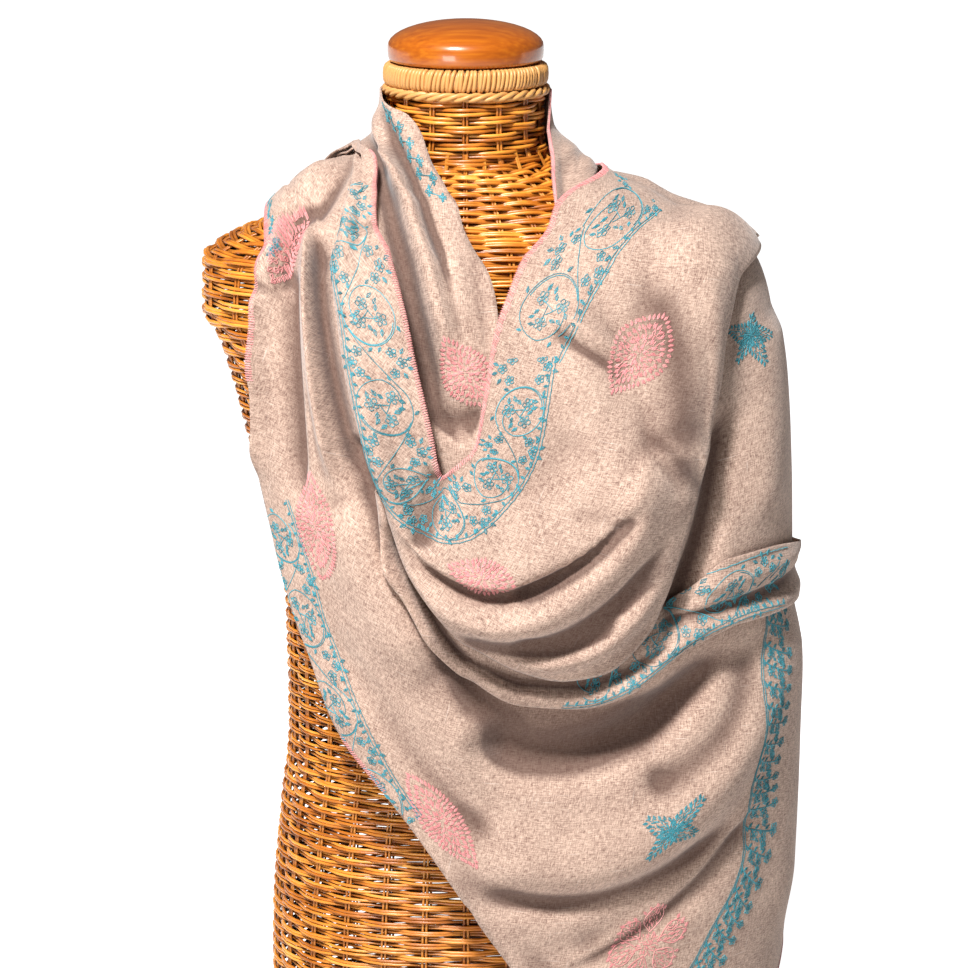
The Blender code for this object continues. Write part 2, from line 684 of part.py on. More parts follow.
def turned(name, profile, slot, closed):
    """A solid turned about the form's axis from a profile of radius and height."""
    angles = np.linspace(0.0, 2 * math.pi, TURNED_SIDES, endpoint=False)
    points = [(radius * math.sin(angle), -radius * math.cos(angle), height)
              for radius, height in profile for angle in angles]
    count = len(profile)
    faces = []
    for row in range(count if closed else count - 1):
        for side in range(TURNED_SIDES):
            after = (side + 1) % TURNED_SIDES
            here, below = row * TURNED_SIDES, (row + 1) % count * TURNED_SIDES
            faces.append((here + side, below + side, below + after, here + after))
    if not closed:
        faces.append(tuple(range(TURNED_SIDES)))
        last = (count - 1) * TURNED_SIDES
        faces.append(tuple(range(last + TURNED_SIDES - 1, last - 1, -1)))
    piece = add_object(name, np.array(points) * MM, faces, slot)
    piece.data.set_sharp_from_angle(angle=math.radians(50))
    return piece


def add_rim(slot):
    """The bound roll round the top of the neck, an oval ring."""
    middle = NECK_TOP + SEAT + RIM_TALL / 2
    centre = (RIM_RADIUS + RIM_BORE) / 2
    half_wide = (RIM_RADIUS - RIM_BORE) / 2
    profile = []
    for step in range(RIM_STEPS):
        turn = -2 * math.pi * step / RIM_STEPS
        wide = math.copysign(abs(math.cos(turn)) ** RIM_SQUARE, math.cos(turn))
        tall = math.copysign(abs(math.sin(turn)) ** RIM_SQUARE, math.sin(turn))
        profile.append((centre + half_wide * wide, middle + RIM_TALL / 2 * tall))
    return turned("form_neck_rim", profile, slot, True)


def add_cap(slot):
    """The domed wooden cap: a short foot, a round side and a low dome."""
    foot_height = NECK_TOP + RIM_TALL + 2 * SEAT
    side_height = foot_height + CAP_SIDE
    edge_height = side_height + CAP_ROUND
    rise = foot_height + CAP_TALL - edge_height
    profile = [(CAP_CROWN, foot_height + CAP_TALL)]
    for step in range(1, DOME_STEPS + 1):
        turn = math.pi / 2 * step / DOME_STEPS
        dome = CAP_RADIUS * CAP_DOME * math.sin(turn) ** 0.8
        profile.append((dome, edge_height + rise * math.cos(turn) ** 1.3))
    profile += [(CAP_RADIUS, side_height), (CAP_RADIUS - 0.5, foot_height + CAP_ROUND),
                (CAP_RADIUS - CAP_ROUND + 1.3, foot_height)]
    return turned("form_neck_cap", profile, slot, False)


def main():
    for old in list(bpy.data.objects):
        bpy.data.objects.remove(old, do_unlink=True)
    wicker = material("wicker", (0.66, 0.33, 0.10), 0.42)
    wood = material("varnished_wood", (0.55, 0.19, 0.02), 0.22)
    board = material("base_wood", (0.42, 0.24, 0.10), 0.55)
    add_torso(wicker)
    add_base(board)
    add_rim(wicker)
    add_cap(wood)
    shades = {"shawl_cowl": (0.62, 0.44, 0.38), "shawl_back_wrap": (0.60, 0.43, 0.37)}
    for name in SECTIONS:
        shade = shades.get(name, (0.58, 0.41, 0.35))
        add_cloth(name, material(name + "_cloth", shade, 0.85))


main()
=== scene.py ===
import math

import bmesh
import bpy
import numpy as np
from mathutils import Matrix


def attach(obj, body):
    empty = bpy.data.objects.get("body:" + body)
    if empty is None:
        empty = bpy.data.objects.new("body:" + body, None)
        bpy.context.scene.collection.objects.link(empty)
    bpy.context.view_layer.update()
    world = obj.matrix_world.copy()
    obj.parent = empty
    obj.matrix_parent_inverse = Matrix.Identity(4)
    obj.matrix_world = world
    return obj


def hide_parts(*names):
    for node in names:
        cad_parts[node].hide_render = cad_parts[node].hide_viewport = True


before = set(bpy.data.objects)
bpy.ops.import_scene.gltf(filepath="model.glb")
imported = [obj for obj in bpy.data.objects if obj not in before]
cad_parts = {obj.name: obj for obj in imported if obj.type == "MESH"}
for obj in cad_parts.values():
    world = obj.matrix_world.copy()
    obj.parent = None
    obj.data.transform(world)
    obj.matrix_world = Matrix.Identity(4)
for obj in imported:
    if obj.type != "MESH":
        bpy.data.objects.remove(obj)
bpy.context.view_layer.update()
print("packed frame loaded")

mm = 0.001
front, ridge, behind, back = 1, 0, -2, -1  # which side of the form a point of a table lies on
tau = 2 * math.pi
white = (1.0, 1.0, 1.0, 1.0)
black = (0.0, 0.0, 0.0, 1.0)


def addObject(name, data):
    made = bpy.data.objects.new(name, data)
    bpy.context.scene.collection.objects.link(made)
    return made


def addMesh(name, shape, slot, smooth=True):
    # a bmesh made an object with one material
    mesh = bpy.data.meshes.new(name)
    shape.to_mesh(mesh)
    shape.free()
    mesh.materials.append(slot)
    if smooth:
        mesh.shade_smooth()
    return addObject(name, mesh)


def unevenness(number, seed):
    # a fixed value from 0 to 1 for a number or for each of an array
    return np.sin(number * 12.9898 + seed * 78.233) * 43758.5453 % 1.0


def ease(part):
    # 0 up to 1 with a soft start and end
    part = np.clip(part, 0.0, 1.0)
    return part * part * (3 - 2 * part)


def ramped(value, low, high):
    return np.clip((value - low) / (high - low), 0.0, 1.0)


def unit(vectors, least=1e-9):
    return vectors / np.maximum(np.linalg.norm(vectors, axis=-1, keepdims=True), least)


def lengthsAlong(line):
    # the length of a line of points up to each of them
    return np.concatenate(([0.0], np.cumsum(np.linalg.norm(np.diff(line, axis=0), axis=-1))))


def hermite(start, leaving, end, arriving, part):
    square, cube = part ** 2, part ** 3
    return (start * (2 * cube - 3 * square + 1) + leaving * (cube - 2 * square + part)
            + end * (3 * square - 2 * cube) + arriving * (cube - square))


def gridValue(field, row, column):
    # the value of a grid at places between its points
    low, left = row.astype(int), column.astype(int)
    rowPart, columnPart = (row - low)[..., None], (column - left)[..., None]
    return ((field[low, left] * (1 - columnPart) + field[low, left + 1] * columnPart) * (1 - rowPart)
            + (field[low + 1, left] * (1 - columnPart) + field[low + 1, left + 1] * columnPart) * rowPart)


# camera, floor and lights

studio = {
    "cameraPlace": (0.0127, -2.2, 1.025),
    "cameraTilt": math.radians(90 - 14),
    "cameraAngle": 2 * math.atan(484 / 3145),
    "floorSize": 20.0,
    "floorDrop": 0.0005,
    "floorColors": ((0.76, 0.76, 0.76, 1.0), (0.80, 0.80, 0.80, 1.0)),
    "worldStrength": 0.11,
    "floorGlow": 1.0,  # lifts the floor behind to the white of a studio sweep
    "glowRange": (-0.05, 0.2),  # where that starts and is full, behind the form
    # each light: place, size, energy
    "lights": (
        ((-0.5, -1.4, 2.4), 0.32, 96.0),
        ((-0.9, -2.0, 0.35), 0.7, 13.0),
    ),
    "aim": (0.0, 0.0, 0.45),
}


def addStudio():
    scene = bpy.context.scene
    lens = bpy.data.cameras.new("camera")
    lens.sensor_fit = "VERTICAL"
    lens.angle = studio["cameraAngle"]
    camera = addObject("camera", lens)
    camera.location = studio["cameraPlace"]
    camera.rotation_euler = (studio["cameraTilt"], 0.0, 0.0)
    scene.camera = camera
    for number, (place, size, energy) in enumerate(studio["lights"]):
        lamp = bpy.data.lights.new("light%d" % number, "AREA")
        lamp.size = size
        lamp.energy = energy
        light = addObject("light%d" % number, lamp)
        light.location = place
        aim = np.array(studio["aim"]) - np.array(place)
        across = math.atan2(aim[0], -aim[1])
        light.rotation_euler = (math.atan2(math.hypot(aim[0], aim[1]), -aim[2]), 0.0, across + math.pi)
    world = bpy.data.worlds.new("studio")
    world.use_nodes = True
    world.node_tree.nodes["Background"].inputs["Color"].default_value = white
    world.node_tree.nodes["Background"].inputs["Strength"].default_value = studio["worldStrength"]
    scene.world = world
    scene.view_settings.view_transform = "Standard"
    shape = bmesh.new()
    bmesh.ops.create_grid(shape, x_segments=1, y_segments=1, size=studio["floorSize"])
    floor = addMesh("floor", shape, floorMaterial(), smooth=False)
    floor.location = (0.0, 0.0, -studio["floorDrop"])
    print("studio set")


# shader expressions

class Shade:
    # one value of a shader: its methods and operators add nodes and give the new value
    def __init__(self, tree, socket=None):
        self.tree = tree
        self.socket = socket

    def node(self, kind, settings=None, inputs=None, output=0):
        made = self.tree.nodes.new("ShaderNode" + kind)
        for name, value in (settings or {}).items():
            if name == "stops":
                ramp = made.color_ramp
                while len(ramp.elements) < len(value):
                    ramp.elements.new(0.5)
                for element, (place, color) in zip(ramp.elements, value):
                    element.position = place
                    element.color = (*color, 1.0)
            else:
                setattr(made, name, value)
        for name, value in (inputs or {}).items():
            if isinstance(value, Shade):
                self.tree.links.new(value.socket, made.inputs[name])
            else:
                made.inputs[name].default_value = value
        return Shade(self.tree, made.outputs[output])

    def sum(self, operation, other, flip=False):
        first, second = (other, self) if flip else (self, other)
        return self.node("Math", {"operation": operation}, {0: first, 1: second})

    def __add__(self, other):
        return self.sum("ADD", other)

    def __sub__(self, other):
        return self.sum("SUBTRACT", other)

    def __rsub__(self, other):
        return self.sum("SUBTRACT", other, flip=True)

    def __mul__(self, other):
        return self.sum("MULTIPLY", other)

    __radd__ = __add__
    __rmul__ = __mul__

    def ramp(self, low, high):
        return self.node("MapRange", {"clamp": True}, {"Value": self, "From Min": low, "From Max": high})

    def blend(self, first, second):
        values = {0: self, 6: first, 7: second}
        return self.node("Mix", {"data_type": "RGBA"}, values, output=2)

    def noise(self, vector, scale, detail=2.0, stretch=(1.0, 1.0, 1.0)):
        laid = self.node("Mapping", {}, {"Vector": vector, "Scale": [part * scale for part in stretch]})
        return self.node("TexNoise", {}, {"Vector": laid, "Scale": 1.0, "Detail": detail})

    def place(self):
        return self.node("TexCoord", output=3)

    def attribute(self, name):
        return self.node("Attribute", {"attribute_name": name}, output=2)

    def gradient(self, stops):
        return self.node("ValToRGB", {"stops": stops}, {"Fac": self})

    def bump(self, strength, distance, below=None):
        inputs = {"Height": self, "Strength": strength, "Distance": distance}
        if below:
            inputs["Normal"] = below
        return self.node("Bump", {}, inputs)

    def wire(self, shader, socket):
        self.tree.links.new(self.socket, shader.inputs[socket])


def newMaterial(name, roughness, constants=None):
    slot = bpy.data.materials.new(name)
    slot.use_nodes = True
    shader = slot.node_tree.nodes["Principled BSDF"]
    shader.inputs["Roughness"].default_value = roughness
    for socket, value in (constants or {}).items():
        shader.inputs[socket].default_value = value
    return slot, Shade(slot.node_tree), shader


def floorMaterial():
    slot, graph, shader = newMaterial("paleFloor", 0.9, {"Emission Strength": studio["floorGlow"]})
    place = graph.place()
    graph.noise(place, 3.0).blend(*studio["floorColors"]).wire(shader, "Base Color")
    depth = graph.node("SeparateXYZ", {}, {0: place}, output=1)
    depth.ramp(*studio["glowRange"]).blend(black, white).wire(shader, "Emission Color")
    return slot


# curves and rings

def slopes(knots, values):
    # slopes at the knots that never overshoot
    steps = np.diff(knots)[:, None]
    rates = np.diff(values, axis=0) / steps
    result = np.zeros_like(values)
    result[0] = rates[0]
    result[-1] = rates[-1]
    before, after = rates[:-1], rates[1:]
    same = before * after > 0
    safe = np.where(same, before + after, 1.0)
    result[1:-1] = np.where(same, 2 * before * after / safe, 0.0)
    return result


def smoothCurve(knots, values, places):
    tangents = slopes(knots, values)
    last = np.clip(np.searchsorted(knots, places, side="right") - 1, 0, len(knots) - 2)
    span = (knots[last + 1] - knots[last])[..., None]
    part = ((places - knots[last]) / span[..., 0])[..., None]
    return hermite(values[last], tangents[last] * span, values[last + 1], tangents[last + 1] * span, part)


class Rings:
    # a surface through rings, with places given by an angle and a length down its profile
    def __init__(self, rows):
        table = np.array(rows, dtype=float)
        profile = np.stack((table[:, 0], (table[:, 1] + table[:, 2]) / 2), -1)
        self.length = lengthsAlong(profile)
        self.table = table
        self.fine = np.linspace(0.0, self.length[-1], 1200)
        self.fineColumns = smoothCurve(self.length, table, self.fine)

    def columns(self, down):
        down = np.clip(down, 0.0, self.length[-1])
        return np.moveaxis(smoothCurve(self.length, self.table, down), -1, 0)

    def place(self, angle, down):  # angle 0 is in front, a quarter turn on the right
        height, left, right, ahead, away, square = self.columns(down)
        sine, cosine = np.sin(angle), np.cos(angle)
        across = np.where(sine < 0, left, right) * np.sign(sine) * np.abs(sine) ** (2 / square)
        depth = -np.where(cosine > 0, ahead, away) * np.sign(cosine) * np.abs(cosine) ** (2 / square)
        return np.stack((across, depth, height), axis=-1)

    def outward(self, angle, down):
        # the direction straight out of the surface
        turn, step = 0.02, 1.5
        around = self.place(angle + turn, down) - self.place(angle - turn, down)
        along = self.place(angle, down + step) - self.place(angle, down - step)
        return unit(np.cross(around, -along))

    def downTo(self, height):
        return np.interp(-height, -self.fineColumns[:, 0], self.fine)

    def measure(self):
        # lengths round the form and down it, on an even grid of angles and ring lengths
        self.turns, self.drops = 720, 259
        turns = np.linspace(-tau, tau, self.turns + 1)[:, None]
        drops = np.linspace(0.0, self.length[-1], self.drops + 1)[None, :]
        spots = self.place(turns + 0 * drops, drops + 0 * turns)
        girth = np.linalg.norm(np.diff(spots, axis=0), axis=-1)
        fall = np.linalg.norm(np.diff(spots, axis=1), axis=-1)
        across = np.pad(np.cumsum(girth, axis=0), ((1, 0), (0, 0)))
        drop = np.pad(np.cumsum(fall, axis=1), ((0, 0), (1, 0)))
        self.flatField = np.stack((across - across[self.turns // 2], -drop), axis=-1)

    def flat(self, angle, down):
        row = np.clip((angle + tau) / (2 * tau) * self.turns, 0.0, self.turns - 0.001)
        column = np.clip(down / self.length[-1] * self.drops, 0.0, self.drops - 0.001)
        return gridValue(self.flatField, row, column)

    def locate(self, x, z, side):
        # the angle and the length down of a point seen at x and z; z is 0 where x alone is given
        column = 1 if x < 0 else 2
        if side in (ridge, behind) and z == 0:
            start = int(np.argmax(self.fineColumns[:, 0] < form["shoulderTop"]))
            widest = int(np.argmax(self.fineColumns[:, column]))
            down = np.interp(abs(x), self.fineColumns[start:widest, column], self.fine[start:widest])
            past = 0.0
            if side == behind:
                ring = self.columns(np.array(down))
                past = (drape["seam"] / ring[4]) ** (ring[5] / 2)
            return math.copysign(math.pi / 2 + past, x), down
        down = self.downTo(z)
        if side == ridge:
            return math.copysign(math.pi / 2, x), down
        ring = self.columns(np.array(down))
        part = min(abs(x) / ring[column], 1.0) ** (ring[5] / 2)
        lean = math.copysign(math.asin(part), x)
        return (lean if side == front else math.pi - lean), down


# the woven form, in millimetres

form = {
    # each ring: height, left half-width, right half-width, front depth, back depth, squareness
    "rings": (
        (764, 56, 56, 56, 56, 2.0),
        (738, 56, 56, 57, 57, 2.0),
        (718, 59, 59, 59, 61, 2.0),
        (700, 86, 86, 63, 69, 2.2),
        (680, 120, 120, 72, 79, 2.4),
        (671, 136, 136, 77, 83, 2.4),
        (664, 158, 158, 80, 86, 2.4),
        (655, 176, 176, 84, 89, 2.4),
        (645, 187, 187, 88, 92, 2.4),
        (607, 188, 188, 101, 99, 2.4),
        (594, 180, 180, 105, 100, 2.4),
        (565, 170, 170, 113, 101, 2.4),
        (515, 157, 157, 121, 99, 2.4),
        (465, 145, 145, 120, 94, 2.4),
        (390, 132, 132, 107, 86, 2.3),
        (300, 131, 131, 103, 90, 2.3),
        (236, 138, 138, 111, 104, 2.3),
        (150, 145, 145, 119, 116, 2.3),
        (60, 146, 146, 121, 120, 2.3),
        (0, 144, 144, 119, 118, 2.3),
    ),
    "rowPitch": {"neck": 5.7, "chest": 5.5, "body": 4.7},
    "strandRadius": {"neck": 1.36, "chest": 1.28, "body": 1.08},
    "strandsPerRow": 2,
    "strandSpacing": 2.1,  # in strand radii
    # each set of rods: how many pairs, girth that they are spread over, points on a rod
    "neckRods": (14, 360.0, 10),
    "bodyRods": (28, 850.0, 56),
    "rodRadius": 1.05,
    "rodGap": 1.35,  # half the distance between a pair's two rods
    "rodPaintedShade": 0.45,
    "weave": 2.15,  # how far a strand swings either way
    "roundSwing": 0.8,
    "wobble": 0.28,
    "rise": 0.35,
    "inset": 3.4,  # the weave's middle under the form's outer face
    "neckTop": 764.0,
    "shoulderTop": 722.0,
    "neckBase": 716.0,
    "chestBottom": 570.0,
    "bodyStart": 5.1,
}


def ringLoop(rings, down, shares):
    # points at even shares of the way round, moved in under the face
    angles = np.linspace(-math.pi, math.pi, 721)
    lengths = lengthsAlong(rings.place(angles, np.full(721, down)))
    wanted = np.interp(shares % 1.0 * lengths[-1], lengths, angles)
    downs = np.full(len(wanted), down)
    normals = rings.outward(wanted, downs)
    return rings.place(wanted, downs) - normals * form["inset"], normals


def addAttribute(piece, name, values):
    layer = piece.data.attributes.new(name, "FLOAT", "POINT")
    layer.data.foreach_set("value", np.asarray(values, dtype=np.float32))


def finishPiece(piece, replaced=()):
    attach(piece, "root")
    if replaced:
        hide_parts(*replaced)
    return piece


def addStrands(name, lines, radius, sides, slot, closed, toneShare=1.0):
    # a curve with one spline for each strand, made a mesh that knows the tone of each strand
    data = bpy.data.curves.new(name, "CURVE")
    data.dimensions = "3D"
    data.bevel_depth = radius * mm
    data.bevel_resolution = max(0, (sides - 4) // 2)
    data.use_fill_caps = not closed and sides > 4
    for points in lines:
        spline = data.splines.new("POLY")
        spline.points.add(len(points) - 1)
        flat = np.concatenate((points * mm, np.ones((len(points), 1))), axis=1)
        spline.points.foreach_set("co", flat.ravel())
        spline.use_cyclic_u = closed
    rough = addObject(name + "Curve", data)
    bpy.context.view_layer.update()
    mesh = bpy.data.meshes.new_from_object(rough.evaluated_get(bpy.context.evaluated_depsgraph_get()))
    bpy.data.objects.remove(rough)
    mesh.name = name
    mesh.materials.clear()
    mesh.materials.append(slot)
    mesh.shade_smooth()
    piece = addObject(name, mesh)
    numbers = np.repeat(np.arange(len(lines)), [len(points) * sides for points in lines])
    addAttribute(piece, "strand", unevenness(numbers.astype(float), 3.0) * toneShare)
    return piece


def facings(piece, normals, sides):
    # how far each point of a strand looks away from the form, from -1 to 1
    places = np.empty(len(piece.data.vertices) * 3)
    piece.data.vertices.foreach_get("co", places)
    places = places.reshape(-1, sides, 3) / mm
    offset = unit(places - places.mean(axis=1, keepdims=True), 1e-6)
    return np.sum(offset * np.concatenate(normals)[:, None], axis=-1).ravel()


wicker = {
    # each stop of the honey tone: place, color
    "honey": (
        (0.0, (0.26, 0.062, 0.006)),
        (0.35, (0.56, 0.168, 0.014)),
        (0.65, (0.86, 0.328, 0.038)),
        (1.0, (0.98, 0.51, 0.105)),
    ),
    # colour of the painted shade in the weave's crevices, and the range of the inner attribute over which it
    # is blended in
    "paintedShadeColor": (0.055, 0.011, 0.002, 1.0),
    "paintedShadeRange": (0.25, 1.0),
}


def wickerMaterial():
    slot, graph, shader = newMaterial("wicker", 0.36, {"Coat Roughness": 0.25, "Coat Weight": 0.35})
    place = graph.place()
    fibre = graph.noise(place, 420.0, 2.0, (0.35, 0.35, 2.2))
    tone = graph.attribute("strand") * 0.5 + graph.noise(place, 55.0) * 0.75 + fibre * 0.35 - 0.3
    # painted shade: the inner attribute blends each strand towards a near-black brown where shade falls in
    # the weave
    paintedShade = graph.attribute("inner").ramp(*wicker["paintedShadeRange"])
    paintedShade.blend(tone.gradient(wicker["honey"]), wicker["paintedShadeColor"]).wire(shader, "Base Color")
    fibre.bump(0.35, 0.0004).wire(shader, "Normal")
    return slot


def rowPlan(rings):
    # lengths down the profile of every woven row, with its part of the form
    pitch = form["rowPitch"]
    neckEnd = rings.downTo(form["neckBase"])
    rows = []
    for part, start, end in (("neck", rings.downTo(form["neckTop"] - 3.0) + 4.0, neckEnd),
                             ("chest", neckEnd + 3.0, rings.downTo(form["chestBottom"])),
                             ("body", None, rings.length[-1] - 1.5)):
        start = rows[-1][0] + form["bodyStart"] if start is None else start
        rows += [(down, part) for down in np.arange(start, end, pitch[part])]
    return rows


def wovenRow(rings, number, down, part):
    # the strands of one row, which swing in front of one pair of rods and behind the next
    rods = form["neckRods" if part == "neck" else "bodyRods"][0]
    steps = rods * (6 if part == "neck" else 3)
    shares = np.arange(steps) / steps
    swing = np.cos(math.pi * rods * shares + (number % 2) * math.pi)
    swing = np.sign(swing) * np.abs(swing) ** form["roundSwing"] * form["weave"]
    strands = []
    count, spacing = form["strandsPerRow"], form["strandSpacing"] * form["strandRadius"][part]
    for strand in range(count):
        name = number * 3 + strand
        shift = (strand - (count - 1) / 2) * spacing
        wobble = form["wobble"] * np.sin(tau * shares * 9 + 40 * unevenness(name, 1.0))
        points, normals = ringLoop(rings, down + shift, shares)
        points = points + normals * (swing + wobble)[:, None]
        points[:, 2] += form["rise"] * np.sin(tau * shares * 5 + 70 * unevenness(name, 2.0))
        # with the points: how far the strand swings behind the rods, which later sets its painted shade
        strands.append((points, 0.5 - 0.5 * swing / form["weave"], normals))
    return strands


def addRods(rings, slot, low, switch):
    # upright rods in pairs: a set in the neck and a closer one below it
    lines = []
    for (rods, girth, count), start, end in ((form["neckRods"], low, switch + 1.0),
                                             (form["bodyRods"], switch - 10.0, rings.length[-1] - 1.0)):
        for rod in range(rods):
            for side in (-1, 1):
                share = np.array([rod / rods + side * form["rodGap"] / girth])
                lines.append(np.array([ringLoop(rings, down, share)[0][0]
                                       for down in np.linspace(start, end, count)]))
    piece = addStrands("wicker_rods", lines, form["rodRadius"], 4, slot, False)
    # the rods get an even share of painted shade, as they stand behind the strands
    addAttribute(piece, "inner", np.full(len(piece.data.vertices), form["rodPaintedShade"]))
    finishPiece(piece)


def addWicker(rings):
    slot = wickerMaterial()
    plan = rowPlan(rings)
    woven = {"neck": [], "chest": [], "body": []}
    for number, (down, part) in enumerate(plan):
        woven[part] += wovenRow(rings, number, down, part)
    body = woven["body"]
    half = len(body) // 2
    # each piece: name, its strands, radius, sides of a strand
    for name, strands, part, sides in (("wicker_neck", woven["neck"], "neck", 6),
                                       ("wicker_chest", woven["chest"], "chest", 6),
                                       ("wicker_waist", body[:half], "body", 4),
                                       ("wicker_hips", body[half:], "body", 6)):
        lines, depths, normals = zip(*strands)
        piece = addStrands(name, lines, form["strandRadius"][part], sides, slot, True)
        depth = np.repeat(np.concatenate(depths), sides)
        # painted shade: darker where a strand swings behind the rods and on its side turned towards the form
        addAttribute(piece, "inner", depth * 0.75 + 0.22 - 0.42 * facings(piece, normals, sides))
        finishPiece(piece, ("form_torso",))
    switch = next(down for down, part in plan if part == "chest") - 2.0
    addRods(rings, slot, plan[0][0] - 3.0, switch)
    print("wicker woven:", sum(len(strands) for strands in woven.values()), "strands")


rim = {
    "low": 764.3,
    "tall": 16.0,
    "outer": 57.4,
    "inner": 48.5,
    "wraps": 112,
    "wrapRadius": 1.5,
    "square": 0.75,
    "coreGap": 0.5,
    "ropeHeight": 761.6,
    "ropeRadius": 55.6,
    "ropeTurns": 12,
    "ropeStrands": 3,
    "strandRadius": 1.7,
    "ropeSwing": (2.0, 1.9),  # outward and upward
}


def squared(wave):
    # flattens a sine or cosine, so that a round section turns squarer
    return np.sign(wave) * np.abs(wave) ** rim["square"]


def ringPoints(radius, angle, height):
    return np.stack((radius * np.sin(angle), -radius * np.cos(angle), height), axis=-1)


def addRim():
    slot = bpy.data.materials["wicker"]
    middle = rim["low"] + rim["tall"] / 2
    centre = (rim["outer"] + rim["inner"]) / 2
    wide = (rim["outer"] - rim["inner"]) / 2 - rim["wrapRadius"] * 0.6
    tall = rim["tall"] / 2 - rim["wrapRadius"]
    around = np.linspace(0.0, tau, 14, endpoint=False)
    wraps = []
    for wrap in range(rim["wraps"]):
        angle = tau * (wrap + 0.45 * unevenness(wrap, 5.0)) / rim["wraps"]
        radius = centre + wide * squared(np.cos(around)) + 0.5 * (unevenness(wrap, 9.0) - 0.5)
        lean = angle + (0.012 + 0.02 * unevenness(wrap, 6.0)) * np.sin(around)
        wraps.append(ringPoints(radius, lean, middle + tall * squared(np.sin(around))))
    rope = []
    steps = rim["ropeTurns"] * 10
    outward, upward = rim["ropeSwing"]
    for strand in range(rim["ropeStrands"]):
        turn = np.arange(steps) / steps * tau
        twist = turn * rim["ropeTurns"] + strand * tau / rim["ropeStrands"]
        rope.append(ringPoints(rim["ropeRadius"] + outward * np.cos(twist), turn,
                               rim["ropeHeight"] + upward * np.sin(twist)))
    # the wraps and rope get a fixed share of painted shade, which stands partly for their own darker tone
    # and partly for shade under the cap
    addBinding("rim_wraps", wraps, rim["wrapRadius"], slot, 0.5, 0.62, ("form_neck_rim",))
    shape = bmesh.new()
    ring = bmesh.ops.create_circle(shape, segments=16, radius=1.0)
    for vert in ring["verts"]:
        across, up = vert.co.x * (wide - rim["coreGap"]), vert.co.y * (tall - rim["coreGap"])
        vert.co = ((centre + across) * mm, 0.0, (middle + up) * mm)
    turnRound(shape, shape.edges[:], 72)
    core = addMesh("rim_core", shape, slot)
    # the core, deep inside the wraps, is painted almost wholly in shade
    for label, value in (("strand", 0.1), ("inner", 0.9)):
        addAttribute(core, label, np.full(len(core.data.vertices), value))
    finishPiece(core)
    addBinding("neck_rope", rope, rim["strandRadius"], slot, 0.6, 0.55)
    print("rim bound")


def addBinding(name, lines, radius, slot, toneShare, depth, replaced=()):
    piece = addStrands(name, lines, radius, 6, slot, True, toneShare)
    # depth is the share of painted shade that the binding is darkened by
    addAttribute(piece, "inner", np.full(len(piece.data.vertices), depth))
    finishPiece(piece, replaced)


def turnRound(shape, profile, steps):
    # spins a profile into a closed round shape that faces outwards
    bmesh.ops.spin(shape, geom=profile, axis=(0, 0, 1), cent=(0, 0, 0), steps=steps, angle=tau,
                   use_merge=True)
    bmesh.ops.remove_doubles(shape, verts=shape.verts[:], dist=0.00001)
    bmesh.ops.recalc_face_normals(shape, faces=shape.faces[:])


cap = {
    "foot": 780.6,
    "radius": 54.5,
    "tall": 29.0,
    # each point of the side: in from the radius, up from the foot
    "side": ((3.4, 0.0), (1.4, 1.0), (0.3, 3.5), (0.0, 7.5)),
    "crownFoot": 11.0,
    "crownSteps": 11,
    "turns": 96,
    "grainScale": (22.0, 260.0, 420.0),
    "tones": (
        (0.0, (0.20, 0.032, 0.002)),
        (0.45, (0.42, 0.095, 0.004)),
        (0.75, (0.57, 0.165, 0.008)),
        (1.0, (0.72, 0.29, 0.03)),
    ),
}


def capMaterial():
    slot, graph, shader = newMaterial("varnishedWood", 0.28, {"Coat Weight": 0.55, "Coat Roughness": 0.05})
    place = graph.place()
    grain = graph.noise(place, 1.0, 4.0, cap["grainScale"])
    tone = grain * 0.8 + graph.noise(place, 14.0) * 0.5 - 0.15
    tone.gradient(cap["tones"]).wire(shader, "Base Color")
    grain.bump(0.08, 0.0003).wire(shader, "Normal")
    return slot


def addCap():
    foot, radius, crownFoot = cap["foot"], cap["radius"], cap["crownFoot"]
    crown = cap["tall"] - crownFoot
    profile = [(0.0, foot)] + [(radius - inward, foot + up) for inward, up in cap["side"]]
    for step in range(cap["crownSteps"] + 1):
        turn = math.pi / 2 * step / cap["crownSteps"]
        profile.append((radius * math.cos(turn), foot + crownFoot + crown * math.sin(turn)))
    shape = bmesh.new()
    verts = [shape.verts.new((across * mm, 0.0, height * mm)) for across, height in profile]
    edges = [shape.edges.new(pair) for pair in zip(verts, verts[1:])]
    turnRound(shape, verts + edges, cap["turns"])
    finishPiece(addMesh("neck_cap", shape, capMaterial()), ("form_neck_cap",))
    print("cap turned")


baseBoard = {"light": (0.52, 0.31, 0.14, 1.0), "dark": (0.30, 0.15, 0.06, 1.0)}


def dressBase():
    slot, graph, shader = newMaterial("baseBoard", 0.5)
    grain = graph.noise(graph.place(), 60.0, 4.0, (0.25, 3.0, 1.0))
    grain.blend(baseBoard["dark"], baseBoard["light"]).wire(shader, "Base Color")
    grain.bump(0.2, 0.0005).wire(shader, "Normal")
    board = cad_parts["form_base"]
    board.data.materials.clear()
    board.data.materials.append(slot)


# the cloth's rest surface and its layers, in millimetres

